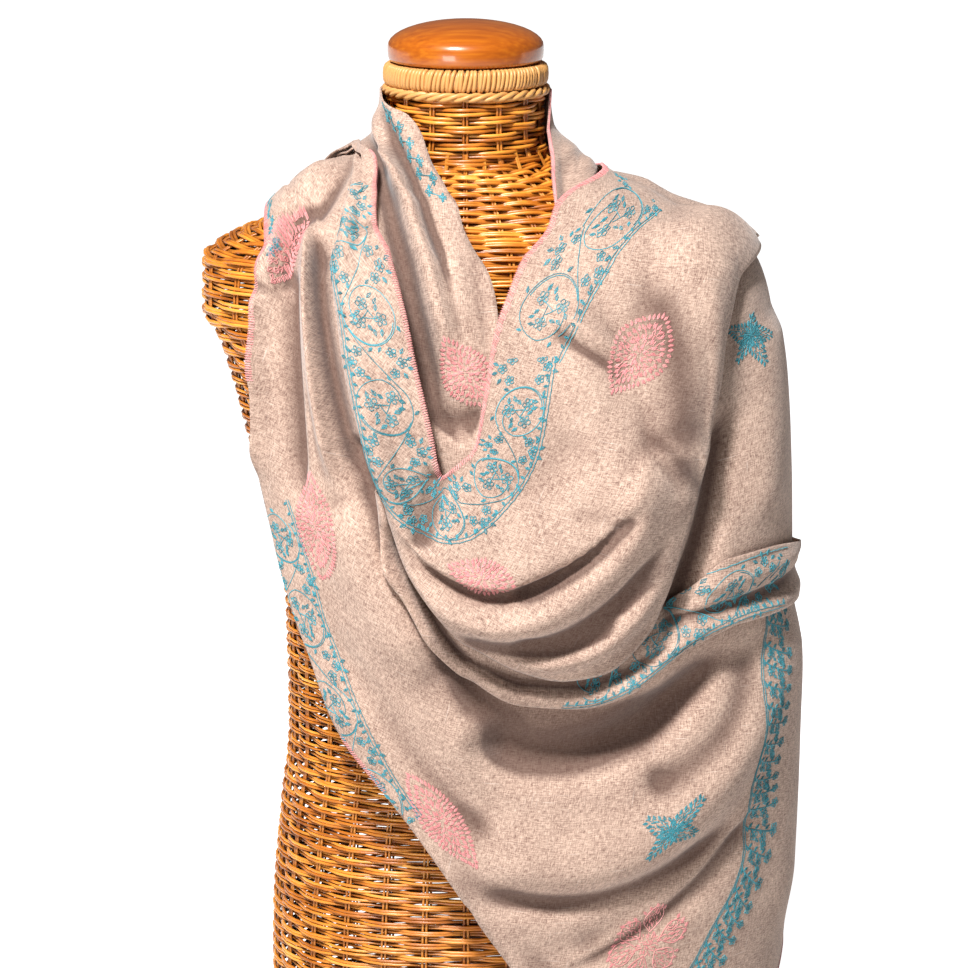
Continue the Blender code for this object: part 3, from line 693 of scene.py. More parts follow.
drape = {
    "rings": (
        (780, 56.6, 56.6, 56.6, 56.6, 2.0),
        (752, 56.8, 56.8, 57.6, 57.6, 2.0),
        (738, 58.6, 58.6, 59, 59, 2.0),
        (727, 63, 63, 61, 61.5, 2.0),
        (717, 70.5, 70, 63.5, 65, 2.02),
        (708, 81, 80, 66.5, 70, 2.06),
        (700, 93, 91, 70, 75, 2.13),
        (693, 104, 101, 73, 79, 2.2),
        (681, 124, 122, 82, 86, 2.3),
        (668.4, 142.6, 144, 90, 89.4, 2.4),
        (655.4, 177.6, 181, 99, 95.4, 2.4),
        (645, 194, 198, 107, 101, 2.4),
        (626, 197, 206, 117, 104, 2.4),
        (600, 194, 211, 127, 106, 2.4),
        (565, 181, 218, 135, 107, 2.4),
        (515, 168, 224, 141, 107, 2.4),
        (465, 160, 227, 143, 107, 2.4),
        (390, 154, 228, 144, 109, 2.4),
        (313, 152, 229, 144, 112, 2.4),
        (200, 152, 229, 143, 117, 2.4),
        (100, 152, 226, 142, 121, 2.4),
        (0, 152, 220, 141, 122, 2.4),
    ),
    "seam": 0.6,
    "wall": 1.2,
    "cell": 3.2,  # size of a cell of the cloth's mesh
    "paintedShadeFold": -6.5,  # folds that sink further than this get painted shade along their creases
    # crease depth that gives full painted shade
    "fullShadeCrease": 13.0,
    "paintedShadeSizes": ((8.0, 3.0), (17.0, 8.0)),  # painted shade in hollows: width looked around, depth that counts as full shade
    "foldSoft": 1.5,
    "foldEnds": 0.2,  # share of a fold that it fades out over
    "sideBlend": 50.0,
    # how far each layer stands off the rest surface, or off the layer under it
    "fallLift": 2.4,
    "fallRest": 4.6,
    "neckSwell": 3.0,
    "neckStep": 2.4,
    "neckClear": 2.7,
    "backNear": 3.0,
    "backRest": 9.0,
    "backStep": 4.0,
    "backRoom": 1.5,
    "rollStep": 6.0,
    "rollTuck": 4.3,
    "rollTall": 13.0,
    "rollCrest": 0.83,
    "cowlSwell": 9.0,
    "cowlStep": 2.9,
    "curlShare": 0.085,
    "curlSwell": 9.0,
    # heights, or widths for the band, between which a layer changes
    "strapRange": (690.0, 720.0),
    "shoulderRange": (700.0, 680.0),
    "collarRange": (715.0, 735.0),
    "tuckRange": (560.0, 530.0),
    "curlRange": (700.0, 660.0),
    "bandRange": (100.0, 160.0),
}

# sections: x, z and side of the near edge, then of the far edge
# bellies: x, z, half-width, half-height, how far out, side
# folds: start x, z, bend x, z, end x, z, reach above and below the line, rise
leftFall = {
    "cell": 3.15,
    "grain": 0.25,
    "sections": (
        (-134, 642, back, -74, 672, back),
        (-134, 0, ridge, -76, 0, ridge),
        (-139, 661, front, -74, 690, front),
        (-146, 622, front, -64, 632, front),
        (-148, 577, front, -46, 562, front),
        (-147, 537, front, -22, 505, front),
        (-142, 503, front, -6, 456, front),
        (-133, 464, front, 18, 410, front),
        (-121, 421, front, 42, 386, front),
        (-103, 374, front, 64, 375, front),
        (-86, 334, front, 104, 379, front),
        (-57, 295, front, 138, 388, front),
        (-34, 264, front, 170, 405, front),
        (-14, 234, front, 204, 416, front),
        (-1, 214, front, 212, 412, back),
        (10, 197, front, 206, 372, back),
        (22, 179, front, 208, 322, back),
        (34, 161, front, 214, 276, back),
        (46, 144, front, 227, 232, back),
        (60, 124, front, 236, 190, ridge),
        (74, 104, front, 233, 152, front),
        (86, 88, front, 228, 118, front),
        (98, 72, front, 216, 88, front),
        (110, 57, front, 196, 64, front),
        (120, 45, front, 172, 46, front),
        (128, 36, front, 148, 33, front),
    ),
    "bellies": (
        (-88, 712, 34, 34, 8, ridge),
        (-60, 400, 60, 90, 9, front),
        (130, 290, 90, 110, 9, front),
    ),
    "folds": (
        (-72, 729, -100, 692, -113, 680, 2, 13, 8.0),
        (-109, 682, -130, 671, -131, 632, 2, 13, 9.0),
        (-136, 637, -144, 594, -137, 506, 5, 12, 12.0),
        (-103, 671, -111, 626, -84, 508, 3, 3, 13.0),
        (-82, 500, -54, 420, 26, 300, 26, 19, 11.0),
        (-30, 410, 10, 316, 156, 352, 18, 24, -12.0),
        (0, 258, 130, 190, 214, 380, 30, 20, 13.0),
        (60, 166, 150, 190, 200, 270, 16, 11, -7.0),
        (8, 336, 62, 270, 188, 394, 16, 10, -7.0),
        (60, 160, 150, 204, 198, 275, 7, 2, 4.0),
        (110, 296, 180, 300, 196, 396, 14, 12, -9.0),
        (204, 612, 212, 550, 200, 466, 12, 12, 6.0),
        (184, 610, 192, 550, 182, 466, 12, 12, -4.0),
        (224, 400, 224, 300, 222, 150, 10, 12, 6.0),
        (-100, 390, -30, 250, 60, 170, 18, 18, 6.0),
        (-70, 330, 0, 230, 90, 120, 12, 12, -4.0),
    ),
    # deep hollows beside the layers that lie on the cloth; the deepest of them also get painted shade along
    # their creases
    "hollows": (
        (-70, 725, -88, 682, -105, 678, 5, 2, -9.0),
        (-101, 681, -120, 676, -122, 636, 5, 2, -10.0),
        (-115, 652, -117, 616, -107, 490, 3, 9, -12.0),
        (-99, 670, -105, 621, -72, 512, 9, 3, -14.0),
        (-76, 545, -64, 500, -40, 452, 6, 6, -12.0),
        (-50, 490, -34, 430, 16, 350, 8, 7, -12.0),
        (-2, 341, 82, 279, 183, 389, 15, 13, -15.0),
        (8, 226, 86, 190, 186, 262, 9, 9, -8.0),
        (129, 408, 168, 453, 176, 560, 8, 9, -15.0),
        (-90, 420, -50, 320, 20, 262, 9, 9, -5.0),
    ),
}
rightFall = {
    "cell": 3.4,
    "sections": (
        (104, 668, back, 176, 636, back),
        (92, 0, ridge, 188, 628, back),
        (100, 668, front, 196, 608, back),
        (112, 618, front, 200, 580, back),
        (116, 560, front, 204, 542, back),
        (114, 500, front, 206, 504, back),
        (112, 456, front, 207, 470, back),
        (122, 417, front, 208, 450, back),
    ),
}
lowerRoll = {
    "held": "folded",
    "cell": 2.2,
    "grain": 0.3,
    "sections": (
        (-30, 508, front, -60, 508, front),
        (-24, 470, front, -57, 463, front),
        (-14, 448, front, -41, 434, front),
        (2, 426, front, -23, 400, front),
        (22, 410, front, 4, 373, front),
        (46, 403, front, 37, 357, front),
        (76, 402, front, 78, 354, front),
        (98, 404, front, 112, 364, front),
        (119, 412, front, 135, 380, front),
        (139, 424, front, 154, 393, front),
        (160, 438, front, 172, 400, front),
        (182, 452, front, 190, 405, front),
        (206, 453, front, 212, 405, front),
        (233, 437, ridge, 233, 400, ridge),
        (230, 424, back, 230, 388, back),
    ),
    "folds": (
        (120, 430, 170, 436, 236, 440, 5, 4, 4.0),
        (96, 384, 150, 412, 236, 410, 4, 5, 3.5),
        (110, 402, 160, 422, 236, 424, 2, 7, -6.0),
    ),
}
cowl = {
    "cell": 2.7,
    "grain": 0.5,
    "sections": (
        (-75, 0, ridge, -80, 0, ridge),
        (-66, 724, front, -73, 721, front),
        (-61, 703, front, -80, 700, front),
        (-51, 668, front, -88, 668, front),
        (-40, 632, front, -85, 618, front),
        (-30, 587, front, -76, 573, front),
        (-21, 548, front, -66, 538, front),
        (-18, 530, front, -54, 500, front),
        (-15, 522, front, -43, 466, front),
        (-8, 528, front, -23, 432, front),
        (1, 535, front, 4, 404, front),
        (7, 543, front, 37, 386, front),
        (10, 556, front, 66, 379, front),
        (12, 570, front, 94, 383, front),
        (15, 587, front, 117, 400, front),
        (18, 606, front, 132, 422, front),
        (23, 625, front, 152, 482, front),
        (32, 647, front, 165, 529, front),
        (43, 665, front, 173, 568, front),
        (61, 692, front, 181, 615, front),
        (79, 703, front, 190, 643, front),
        (95, 0, ridge, 203, 0, ridge),
    ),
    "bellies": (
        (-84, 722, 26, 30, -9, ridge),
        (-40, 590, 60, 90, 18, front),
        (45, 455, 105, 110, 25, front),
    ),
    "folds": (
        (-43, 493, 15, 407, 98, 496, 24, 1.5, 10.0),
        (-38, 483, 18, 401, 96, 487, 3, 4, -5.0),
        (-45, 466, 36, 352, 126, 545, 8, 18, 14.0),
        (30, 440, 78, 454, 106, 502, 9, 6, -12.0),
        (-20, 420, 64, 380, 132, 476, 6, 9, -11.0),
        (26, 396, 84, 384, 122, 444, 6, 6, 7.0),
        (30, 412, 62, 398, 100, 420, 5, 6, -8.0),
        (56, 612, 84, 594, 112, 576, 4, 4, -6.0),
        (60, 620, 88, 604, 114, 586, 4, 4, 4.0),
        (116, 545, 136, 525, 156, 498, 2, 4, -8.0),
        (122, 556, 144, 535, 162, 510, 5, 3, 6.0),
        (120, 640, 146, 580, 138, 500, 12, 9, -9.0),
        (-62, 670, -60, 600, -44, 500, 15, 15, 8.0),
        (-15, 528, -22, 500, -28, 470, 8, 8, -9.0),
        (60, 650, 100, 560, 84, 490, 26, 26, 8.0),
        (100, 660, 142, 590, 124, 510, 20, 20, -7.0),
        (150, 650, 166, 590, 146, 480, 18, 15, 8.0),
        (-10, 560, 30, 480, 84, 560, 20, 20, -6.0),
    ),
}
backWrap = {
    "cell": 4.0,
    "seen": back,
    "grain": -0.4,
    "sections": (
        (95, 0, behind, 203, 0, behind),
        (88, 700, back, 196, 634, back),
        (66, 690, back, 166, 568, back),
        (36, 680, back, 112, 505, back),
        (0, 676, back, 34, 478, back),
        (-36, 683, back, -44, 506, back),
        (-52, 692, back, -76, 556, back),
        (-60, 703, back, -90, 612, back),
        (-67, 708, back, -92, 664, back),
        (-75, 0, behind, -80, 0, behind),
    ),
    "folds": (
        (150, 600, 20, 450, -60, 590, 22, 11, 12.0),
        (134, 610, 10, 515, -56, 616, 14, 10, -9.0),
        (104, 620, 0, 560, -50, 640, 14, 10, 8.0),
    ),
}
backFall = {
    "cell": 4.4,
    "seen": back,
    "sections": (
        (210, 626, back, 229, 298, back),
        (176, 630, back, 200, 270, back),
        (116, 620, back, 132, 248, back),
        (40, 602, back, 42, 236, back),
        (-36, 612, back, -34, 246, back),
        (-92, 640, back, -82, 276, back),
        (-126, 650, back, -104, 318, back),
    ),
    "folds": (
        (166, 600, 150, 420, 170, 262, 18, 18, 9.0),
        (112, 590, 90, 420, 112, 252, 16, 16, -7.0),
        (60, 580, 30, 420, 48, 240, 20, 20, 10.0),
        (0, 580, -20, 420, 0, 240, 16, 16, -7.0),
        (-60, 600, -66, 440, -46, 250, 18, 18, 8.0),
        (-92, 610, -96, 460, -80, 300, 12, 12, -5.0),
    ),
}
neckDrape = {
    "sections": (
        (27, 522, front, -36, 512, front),
        (22, 568, front, -48, 562, front),
        (24, 604, front, -58, 602, front),
        (21, 633, front, -68, 644, front),
        (9, 661, front, -75, 678, front),
        (-5, 692, front, -78, 700, front),
        (-26, 727, front, -78, 712, front),
        (-41, 750, front, -74, 722, front),
        (-59, 762, ridge, -82, 0, ridge),
        (-42, 763, back, -66, 684, back),
        (0, 763, back, 0, 660, back),
        (42, 763, back, 70, 680, back),
        (59, 761, ridge, 92, 0, ridge),
        (58, 742, front, 84, 702, front),
        (59, 722, front, 84, 690, front),
        (60, 704, front, 82, 672, front),
        (62, 688, front, 78, 656, front),
        (48, 660, front, 66, 630, front),
    ),
    "bellies": (
        (-72, 716, 26, 36, 5, ridge),
        (-40, 640, 42, 70, 15, front),
        (78, 712, 18, 24, 4, ridge),
    ),
    "folds": (
        (-50, 725, -40, 690, -7, 589, 6, 6, 12.0),
        (-14, 664, 4, 620, 12, 570, 9, 9, 6.0),
        (66, 744, 70, 700, 68, 660, 7, 7, 5.0),
        (76, 742, 84, 700, 78, 660, 6, 6, -4.0),
    ),
    "collarFolds": (
        (74, 722, 0, 690, -70, 722, 12, 9, 6.0),
        (62, 742, 0, 716, -58, 742, 8, 8, -3.0),
    ),
    # folds that stand off the neck itself
    "pleats": (
        (-66, 766, -58, 734, -36, 690, 3, 4, 7.0),
        (-52, 768, -42, 740, -12, 696, 3, 4, 7.0),
        (72, 752, 82, 726, 84, 700, 6, 5, 5.0),
    ),
    "hollows": (
        (-66, 729, -46, 690, -15, 540, 8, 8, -15.0),
        (-58, 756, -38, 716, -8, 632, 3, 3, -9.0),
        (-16, 545, -6, 560, 12, 552, 12, 12, -8.0),
        (66, 716, 68, 690, 66, 660, 4, 4, -5.0),
    ),
}

clothRings = Rings(drape["rings"])
clothRings.measure()


def sideWeight(points, side):
    # 1 on the side given and 0 on the other, with a soft change between
    if side == ridge:
        return np.ones(points.shape[:-1])
    return ease(0.5 - side * points[..., 1] / drape["sideBlend"])


def between(points, name, axis=2):
    return ramped(points[..., axis], *drape[name])


def bellies(points, rows):
    total = np.zeros(points.shape[:-1])
    for x, z, wide, tall, rise, side in rows:
        spread = ((points[..., 0] - x) / wide) ** 2 + ((points[..., 2] - z) / tall) ** 2
        total += rise * np.exp(-spread) * sideWeight(points, side)
    return total


def folds(points, rows, side):
    # ridges and hollows along bent lines, each with its own reach on either side of its line
    total = np.zeros(points.shape[:-1])
    samples = 24
    part = np.linspace(0.0, 1.0, samples)[:, None]
    weight = sideWeight(points, side)
    flat = points[..., None, :][..., (0, 2)]
    for x0, z0, xb, zb, x1, z1, above, below, rise in rows:
        start, bend, end = np.array((x0, z0)), np.array((xb, zb)), np.array((x1, z1))
        line = start * (1 - part) ** 2 + 2 * bend * part * (1 - part) + end * part ** 2
        course = 2 * ((bend - start) * (1 - part) + (end - bend) * part)
        speed = np.linalg.norm(course, axis=1)
        course /= speed[:, None]
        offset = flat - line
        nearest = np.argmin(np.sum(offset ** 2, axis=-1), axis=-1)
        offset = np.take_along_axis(offset, nearest[..., None, None], -2)[..., 0, :]
        course, speed = course[nearest], speed[nearest]
        along = np.sum(offset * course, axis=-1)
        place = np.clip(nearest / (samples - 1) + along / speed, 0.0, 1.0)
        past = along - (place - nearest / (samples - 1)) * speed
        turn = offset[..., 0] * course[..., 1] - offset[..., 1] * course[..., 0]
        lean = np.clip(turn / 2.0, -1.0, 1.0)
        reach = (above + below + (below - above) * lean) / 2 + drape["foldSoft"]
        fade = ease(np.minimum(place, 1 - place) / drape["foldEnds"] + 0.15)
        total += rise * fade * weight * np.exp(-(turn ** 2 + past ** 2) / reach ** 2)
    return total


def softMax(first, second, blend=1.0):
    return (first + second + np.sqrt((first - second) ** 2 + blend ** 2)) / 2


def fallHeight(points, across=None):
    raised = drape["fallLift"] + drape["fallRest"] * sideWeight(points, front) ** 2
    raised += bellies(points, leftFall["bellies"]) + folds(points, leftFall["folds"], front)
    raised *= 1 - 0.3 * between(points, "strapRange")
    return softMax(raised, drape["fallLift"]) + folds(points, leftFall["hollows"], front)


def backHeight(points, across=None):
    raised = drape["backNear"] + drape["backRest"] * sideWeight(points, back) ** 2
    raised += folds(points, backFall["folds"], back)
    high = between(points, "shoulderRange")
    return softMax(raised * high, fallHeight(points) + drape["backStep"] * high)


def neckHeight(points, across=None):
    raised = drape["neckSwell"] + bellies(points, neckDrape["bellies"])
    raised += folds(points, neckDrape["folds"], front)
    collar = between(points, "collarRange")
    close = drape["neckClear"] * collar
    low = (fallHeight(points) + drape["neckStep"]) * (1 - collar) + close
    raised = softMax(raised * (1 - collar) + close, low, 0.4)
    raised += np.maximum(folds(points, neckDrape["collarFolds"], back), 0.0)
    raised += folds(points, neckDrape["pleats"], front)
    return raised + folds(points, neckDrape["hollows"], front) * (1 - collar)


def rollHeight(points, across):
    # a round roll along the lower part, opening into a flat band on the right
    place = np.clip((across - drape["rollCrest"]) / (1 - drape["rollCrest"]), -1.0, 1.0)
    swell = 1.0 + drape["rollTall"] * np.sqrt(1.0 - place ** 2)
    band = ease(between(points, "bandRange", 0))
    flatBand = drape["rollStep"] * 0.7 + folds(points, lowerRoll["folds"], front)
    return fallHeight(points) + swell * (1 - band) + flatBand * band


def cowlHeight(points, across=None):
    raised = drape["cowlSwell"] + bellies(points, cowl["bellies"]) + folds(points, cowl["folds"], front)
    raised += folds(points, backWrap["folds"], back)
    tuck = sideWeight(points, front) * between(points, "tuckRange")
    roll = fallHeight(points) + (drape["rollStep"] + drape["rollTuck"]) * tuck
    room = drape["backRoom"] * between(points, "shoulderRange")
    under = softMax(softMax(backHeight(points) + room, neckHeight(points)), roll) + drape["cowlStep"]
    if across is None:
        return softMax(raised, under)
    # the outer edge is a round fold that turns down and under
    curl = ramped(across, 1.0 - drape["curlShare"], 1.0)
    swell = drape["curlSwell"] * np.sin(math.pi * ramped(across, 0.5, 1.0) ** 1.2)
    shown = sideWeight(points, front) * between(points, "curlRange")
    top = softMax(raised, under) + swell * shown
    return top - (top - under + 0.5) * (1.0 - np.sqrt(1.0 - curl ** 2)) * shown


def lifted(feet, height, across):
    points = clothRings.place(feet[:, 0], feet[:, 1])
    normals = clothRings.outward(feet[:, 0], feet[:, 1])
    return points + normals * height(points, np.full(len(feet), across))[:, None]


def edgeFeet(rows, first, height):
    # ring coordinates under the points of one edge, which stand off along the normals
    wanted = np.array([row[first:first + 2] for row in rows], dtype=float)
    sides = [row[first + 2] for row in rows]
    free = np.stack((np.ones(len(rows)), wanted[:, 1] != 0), axis=-1)
    across = 0.0 if first == 0 else 1.0
    base = wanted.copy()
    # a first guess by moving the place that is looked up, then a finer one by the local slopes
    for _ in range(14):
        feet = np.array([clothRings.locate(x, z, side) for (x, z), side in zip(base, sides)])
        error = (wanted - lifted(feet, height, across)[:, (0, 2)]) * free
        base += 0.4 * error
    loose = np.array([side in (front, back) for side in sides])
    best, least = feet.copy(), np.linalg.norm(error, axis=1)
    probes, reach = (0.004, 0.3), np.array((0.12, 8.0))
    for _ in range(5):
        stand = lifted(feet, height, across)
        changes = [(lifted(feet + probe, height, across) - stand)[:, (0, 2)] / size
                   for probe, size in zip(np.diag(probes), probes)]
        error = wanted - stand[:, (0, 2)]
        steps = [np.linalg.lstsq(np.stack((turn, drop), axis=-1), miss, rcond=0.05)[0]
                 for turn, drop, miss in zip(*changes, error)]
        feet = feet + np.clip(steps, -reach, reach)
        miss = np.linalg.norm(wanted - lifted(feet, height, across)[:, (0, 2)], axis=1)
        closer = loose & (miss < least)
        best[closer], least[closer] = feet[closer], miss[closer]
    return best


def averaged(values, reach, axis=0):
    # a moving average along one axis that keeps the ends
    room = [(0, 0)] * values.ndim
    room[axis] = (reach, reach)
    padded = np.pad(values, room, mode="edge")
    count = values.shape[axis]
    return sum(np.take(padded, range(step, step + count), axis=axis)
               for step in range(2 * reach + 1)) / (2 * reach + 1)


class Cloth:
    # a stretch of the shawl as a fine grid: points, normals, and flat measures from each of its edges
    def __init__(self, piece, height):
        cell = self.cell = piece.get("cell", drape["cell"])
        near = edgeFeet(piece["sections"], 0, height)
        far = edgeFeet(piece["sections"], 3, height)
        near[:, 0], far[:, 0] = np.unwrap(near[:, 0]), np.unwrap(far[:, 0])
        far[:, 0] += tau * round((near[0, 0] - far[0, 0]) / tau)
        turns = tau * round(near[len(near) // 2, 0] / tau)
        near[:, 0] -= turns
        far[:, 0] -= turns
        tracks = [clothRings.place(*(near * (1 - part) + far * part).T) for part in (0.0, 0.5, 1.0)]
        steps = np.mean([np.linalg.norm(np.diff(track, axis=0), axis=1) for track in tracks], axis=0)
        knots = np.concatenate(([0.0], np.cumsum(steps + 3.0)))
        widths = np.linalg.norm(tracks[0] - tracks[2], axis=1)
        self.rows = int(knots[-1] / cell)
        self.columns = int(np.percentile(widths, 75) * 1.08 / cell) + 2
        self.sections = knots / knots[-1] * self.rows
        places = np.linspace(0.0, knots[-1], self.rows + 1)
        start, end = (smoothCurve(knots, edge, places)[:, None] for edge in (near, far))
        across = np.linspace(0.0, 1.0, self.columns + 1)[None, :, None]
        spots = start * (1 - across) + end * across
        angle, down = spots[..., 0], spots[..., 1]
        base = clothRings.place(angle, down)
        outward = clothRings.outward(angle, down)
        lift = height(base, np.broadcast_to(across[..., 0], angle.shape))
        self.points = base + outward * lift[..., None]
        normal = unit(np.cross(np.gradient(self.points, axis=0), np.gradient(self.points, axis=1)))
        self.facing = 1.0 if np.sum(normal * outward) > 0 else -1.0
        self.normals = normal * self.facing
        self.near = self.hemMeasure(self.points)
        self.plane = clothRings.flat(angle, down)
        # the deepest folds and hollows also get painted shade along their creases
        foldShade = [row for row in piece.get("folds", ()) + piece.get("hollows", ())
                if row[-1] < drape["paintedShadeFold"]]
        self.creaseShade = -folds(base, foldShade, piece.get("seen", front))
        self.grain = piece.get("grain", 0.0)
        self.held = piece.get("held", "draped")

    def hollows(self):
        # painted shade: how far each point lies below the cloth around it, about 1 in a deep fold, with more
        # along the deepest creases
        total = 0.0
        for width, depth in drape["paintedShadeSizes"]:
            reach = max(1, round(width / self.cell))
            around = averaged(averaged(self.points, reach, 0), reach, 1)
            total = total + np.sum((around - self.points) * self.normals, axis=-1) / depth
        return total * 0.9 + np.maximum(self.creaseShade - 2.0, 0.0) / drape["fullShadeCrease"]

    def hemMeasure(self, points):
        # flat place of each point: along the hem and away from it, as if each section lay straight
        steps = np.linalg.norm(np.diff(points, axis=1), axis=2)
        lengths = np.pad(np.cumsum(steps, axis=1), ((0, 0), (1, 0)))
        chord = points[:, max(2, points.shape[1] // 4)] - points[:, 0]
        cosine = np.sum(unit(np.gradient(points[:, 0], axis=0)) * unit(chord), axis=1)
        cosine = np.clip(averaged(cosine, 6), -0.85, 0.85)[:, None]
        along = lengthsAlong(points[:, 0])[:, None]
        return np.stack((along + lengths * cosine, lengths * np.sqrt(1 - cosine ** 2)), axis=-1)

    def sample(self, field, spots):
        row = np.clip(spots[..., 0], 0.0, self.rows - 1e-6)
        column = np.clip(spots[..., 1], 0.0, self.columns - 1e-6)
        return gridValue(field, row, column)

    def find(self, flat):
        # grid place of points of the plane, and which of them lie on the cloth
        field = self.plane
        flat = np.asarray(flat, dtype=float)
        coarse = field[::4, ::3].reshape(-1, 2)
        rows, columns = np.meshgrid(np.arange(self.rows + 1)[::4], np.arange(self.columns + 1)[::3],
                                    indexing="ij")
        places = np.stack((rows.ravel(), columns.ravel()), axis=-1).astype(float)
        picks = [np.argmin(np.sum((part[:, None] - coarse) ** 2, axis=-1), axis=1)
                 for part in np.array_split(flat, len(flat) // 2000 + 1)]
        spots = places[np.concatenate(picks)]
        for _ in range(14):
            spots = np.clip(spots, 0.0, (self.rows, self.columns))
            inside = np.clip(spots, 0.5, (self.rows - 0.5, self.columns - 0.5))
            downs, sides = (self.sample(field, inside + step) - self.sample(field, inside - step)
                            for step in np.diag((0.5, 0.5)))
            miss = flat - self.sample(field, spots)
            area = downs[:, 0] * sides[:, 1] - downs[:, 1] * sides[:, 0]
            area = np.where(np.abs(area) < 1e-3, 1e-3, area)
            rowStep = (miss[:, 0] * sides[:, 1] - miss[:, 1] * sides[:, 0]) / area
            columnStep = (miss[:, 1] * downs[:, 0] - miss[:, 0] * downs[:, 1]) / area
            spots = spots + np.clip(np.stack((rowStep, columnStep), axis=-1), -6.0, 6.0) * 0.85
        spots = np.clip(spots, 0.0, (self.rows, self.columns))
        miss = np.linalg.norm(flat - self.sample(field, spots), axis=1)
        return spots, miss < 0.6

    def lay(self, spots, lift):
        return self.sample(self.points, spots) + self.sample(self.normals, spots) * lift

    def nearest(self, x, z, side=front):
        # grid place of the cloth point seen at x and z
        gap = (self.points[..., 0] - x) ** 2 + (self.points[..., 2] - z) ** 2
        gap = gap + np.where(self.points[..., 1] * side > 0, 1e6, 0.0)
        return np.unravel_index(np.argmin(gap), gap.shape)

    def guide(self, side, hem, places):
        # a smooth line through places seen from the front or the back
        return Guide(np.array([self.plane[self.nearest(x, z, side)] for x, z in places]), hem)

    def edgeGuide(self, edge, first, last, inward):
        # a line that keeps its distance from an edge, between two sections
        column = 0 if edge == "near" else self.columns
        low, high = int(self.sections[first]), int(self.sections[last])
        line = self.plane[low:high + 1, column]
        cloth = self.plane[low:high + 1, max(1, self.columns // 3) if edge == "near" else -self.columns // 3]
        normal = normalsOf(line)
        toward = np.sign(np.sum(normal * (cloth - line)))
        return Guide(line + normal * toward * inward, -toward)


def normalsOf(line):
    course = unit(np.gradient(line, axis=0))
    return np.stack((-course[:, 1], course[:, 0]), axis=-1)


def readAlong(table, lengths, places):
    # the values of a table at places between its lengths
    return np.stack([np.interp(places, lengths, table[:, axis]) for axis in (0, 1)], -1)


class Guide:
    # a smooth line on the plane that a border is drawn along; hem is the side that its hem lies on
    def __init__(self, knots, hem):
        lengths = lengthsAlong(knots)
        places = np.linspace(0.0, lengths[-1], max(8, int(lengths[-1] / 2.5)))
        self.line = averaged(readAlong(knots, lengths, places), 5)
        self.lengths = lengthsAlong(self.line)
        self.normal = normalsOf(self.line)
        self.hem = hem

    def lay(self, strokes):
        # strokes drawn along and off the line, put on the plane
        return [readAlong(self.line, self.lengths, stroke[:, 0])
                + readAlong(self.normal, self.lengths, stroke[:, 0]) * stroke[:, 1:2] * self.hem
                for stroke in strokes]


def addCloth(name, cloth, slot, node):
    # a bmesh grid of the same cells, moved onto the cloth's points, with its flat place as a UV map
    shape = bmesh.new()
    bmesh.ops.create_grid(shape, x_segments=cloth.rows, y_segments=cloth.columns, size=1.0, calc_uvs=True)
    layer = shape.loops.layers.uv.new("flat")
    places = np.array([vert.co[:2] for vert in shape.verts])
    rows = np.round((places[:, 0] + 1) / 2 * cloth.rows).astype(int)
    columns = np.round((places[:, 1] + 1) / 2 * cloth.columns).astype(int)
    points = cloth.points[rows, columns] * mm
    flats = turned(cloth.plane, cloth.grain)[rows, columns] * mm
    for vert, point in zip(shape.verts, points):
        vert.co = point
    shape.verts.index_update()
    for face in shape.faces:
        for loop in face.loops:
            loop[layer].uv = flats[loop.vert.index]
    if cloth.facing < 0:
        bmesh.ops.reverse_faces(shape, faces=shape.faces[:])
    piece = addMesh(name, shape, slot)
    # painted shade in hollows and creases, which darkens the wool's colour
    addAttribute(piece, "hollow", cloth.hollows()[rows, columns])
    wall = piece.modifiers.new("wall", "SOLIDIFY")
    wall.thickness = drape["wall"] * mm
    wall.offset = -1.0
    return finishPiece(piece, (node,))


wool = {
    "light": (0.74, 0.535, 0.42, 1.0),
    "dark": (0.19, 0.105, 0.08, 1.0),
    "slub": (0.90, 0.76, 0.66, 1.0),
    # the colour, share and range of the painted shade in hollows and creases
    "foldShade": (0.085, 0.042, 0.032, 1.0),
    "foldShadeShare": 0.78,
    "foldShadeRange": (0.02, 0.9),
    "toneRange": (1.00, 1.58),
    "slubRange": (0.70, 0.80),
    "threadScale": (240.0, 1350.0, 1.0),
    "slubScale": (40.0, 900.0, 1.0),
}


def woolMaterial():
    slot, graph, shader = newMaterial("wool", 0.92, {
        "Sheen Weight": 0.25, "Sheen Roughness": 0.5, "Specular IOR Level": 0.15,
    })
    flat = graph.node("UVMap", {"uv_map": "flat"})
    along, across, depth = wool["threadScale"]
    warp = graph.noise(flat, 1.0, 2.0, (along, across, depth))
    weft = graph.noise(flat, 1.0, 2.0, (across, along, depth))
    speck = graph.noise(flat, 2100.0, 1.0)
    cloud = graph.noise(flat, 40.0, 3.0)
    threads = warp * 0.8 + weft * 0.8 + speck * 0.7 + cloud * 0.3
    color = threads.ramp(*wool["toneRange"]).blend(wool["dark"], wool["light"])
    along, across, depth = wool["slubScale"]
    slubs = graph.noise(flat, 1.0, 1.0, (along, across, depth)).ramp(*wool["slubRange"])
    slubsAcross = graph.noise(flat, 1.0, 1.0, (across, along, depth)).ramp(*wool["slubRange"])
    color = (slubs * 0.45 + slubsAcross * 0.4).blend(color, wool["slub"])
    # painted shade: hollows and deep creases blend towards a near-black brown
    hollow = graph.attribute("hollow").ramp(*wool["foldShadeRange"])
    (hollow * wool["foldShadeShare"]).blend(color, wool["foldShade"]).wire(shader, "Base Color")
    ripple = graph.noise(flat, 60.0, 3.0, (1.0, 1.6, 1.0))
    ripple.bump(0.35, 0.0018, threads.bump(0.45, 0.0004)).wire(shader, "Normal")
    return slot


def threadMaterial(name, light, dark):
    slot, graph, shader = newMaterial(name, 0.55, {"Sheen Weight": 0.2})
    mottle = graph.noise(graph.place(), 700.0)
    tone = (graph.attribute("strand") * 0.75 + mottle * 0.6 - 0.15).ramp(0.0, 1.0)
    tone.blend(dark, light).wire(shader, "Base Color")
    mottle.bump(0.4, 0.0003).wire(shader, "Normal")
    return slot


# embroidery: strokes drawn flat in millimetres, then laid on the cloth as threads

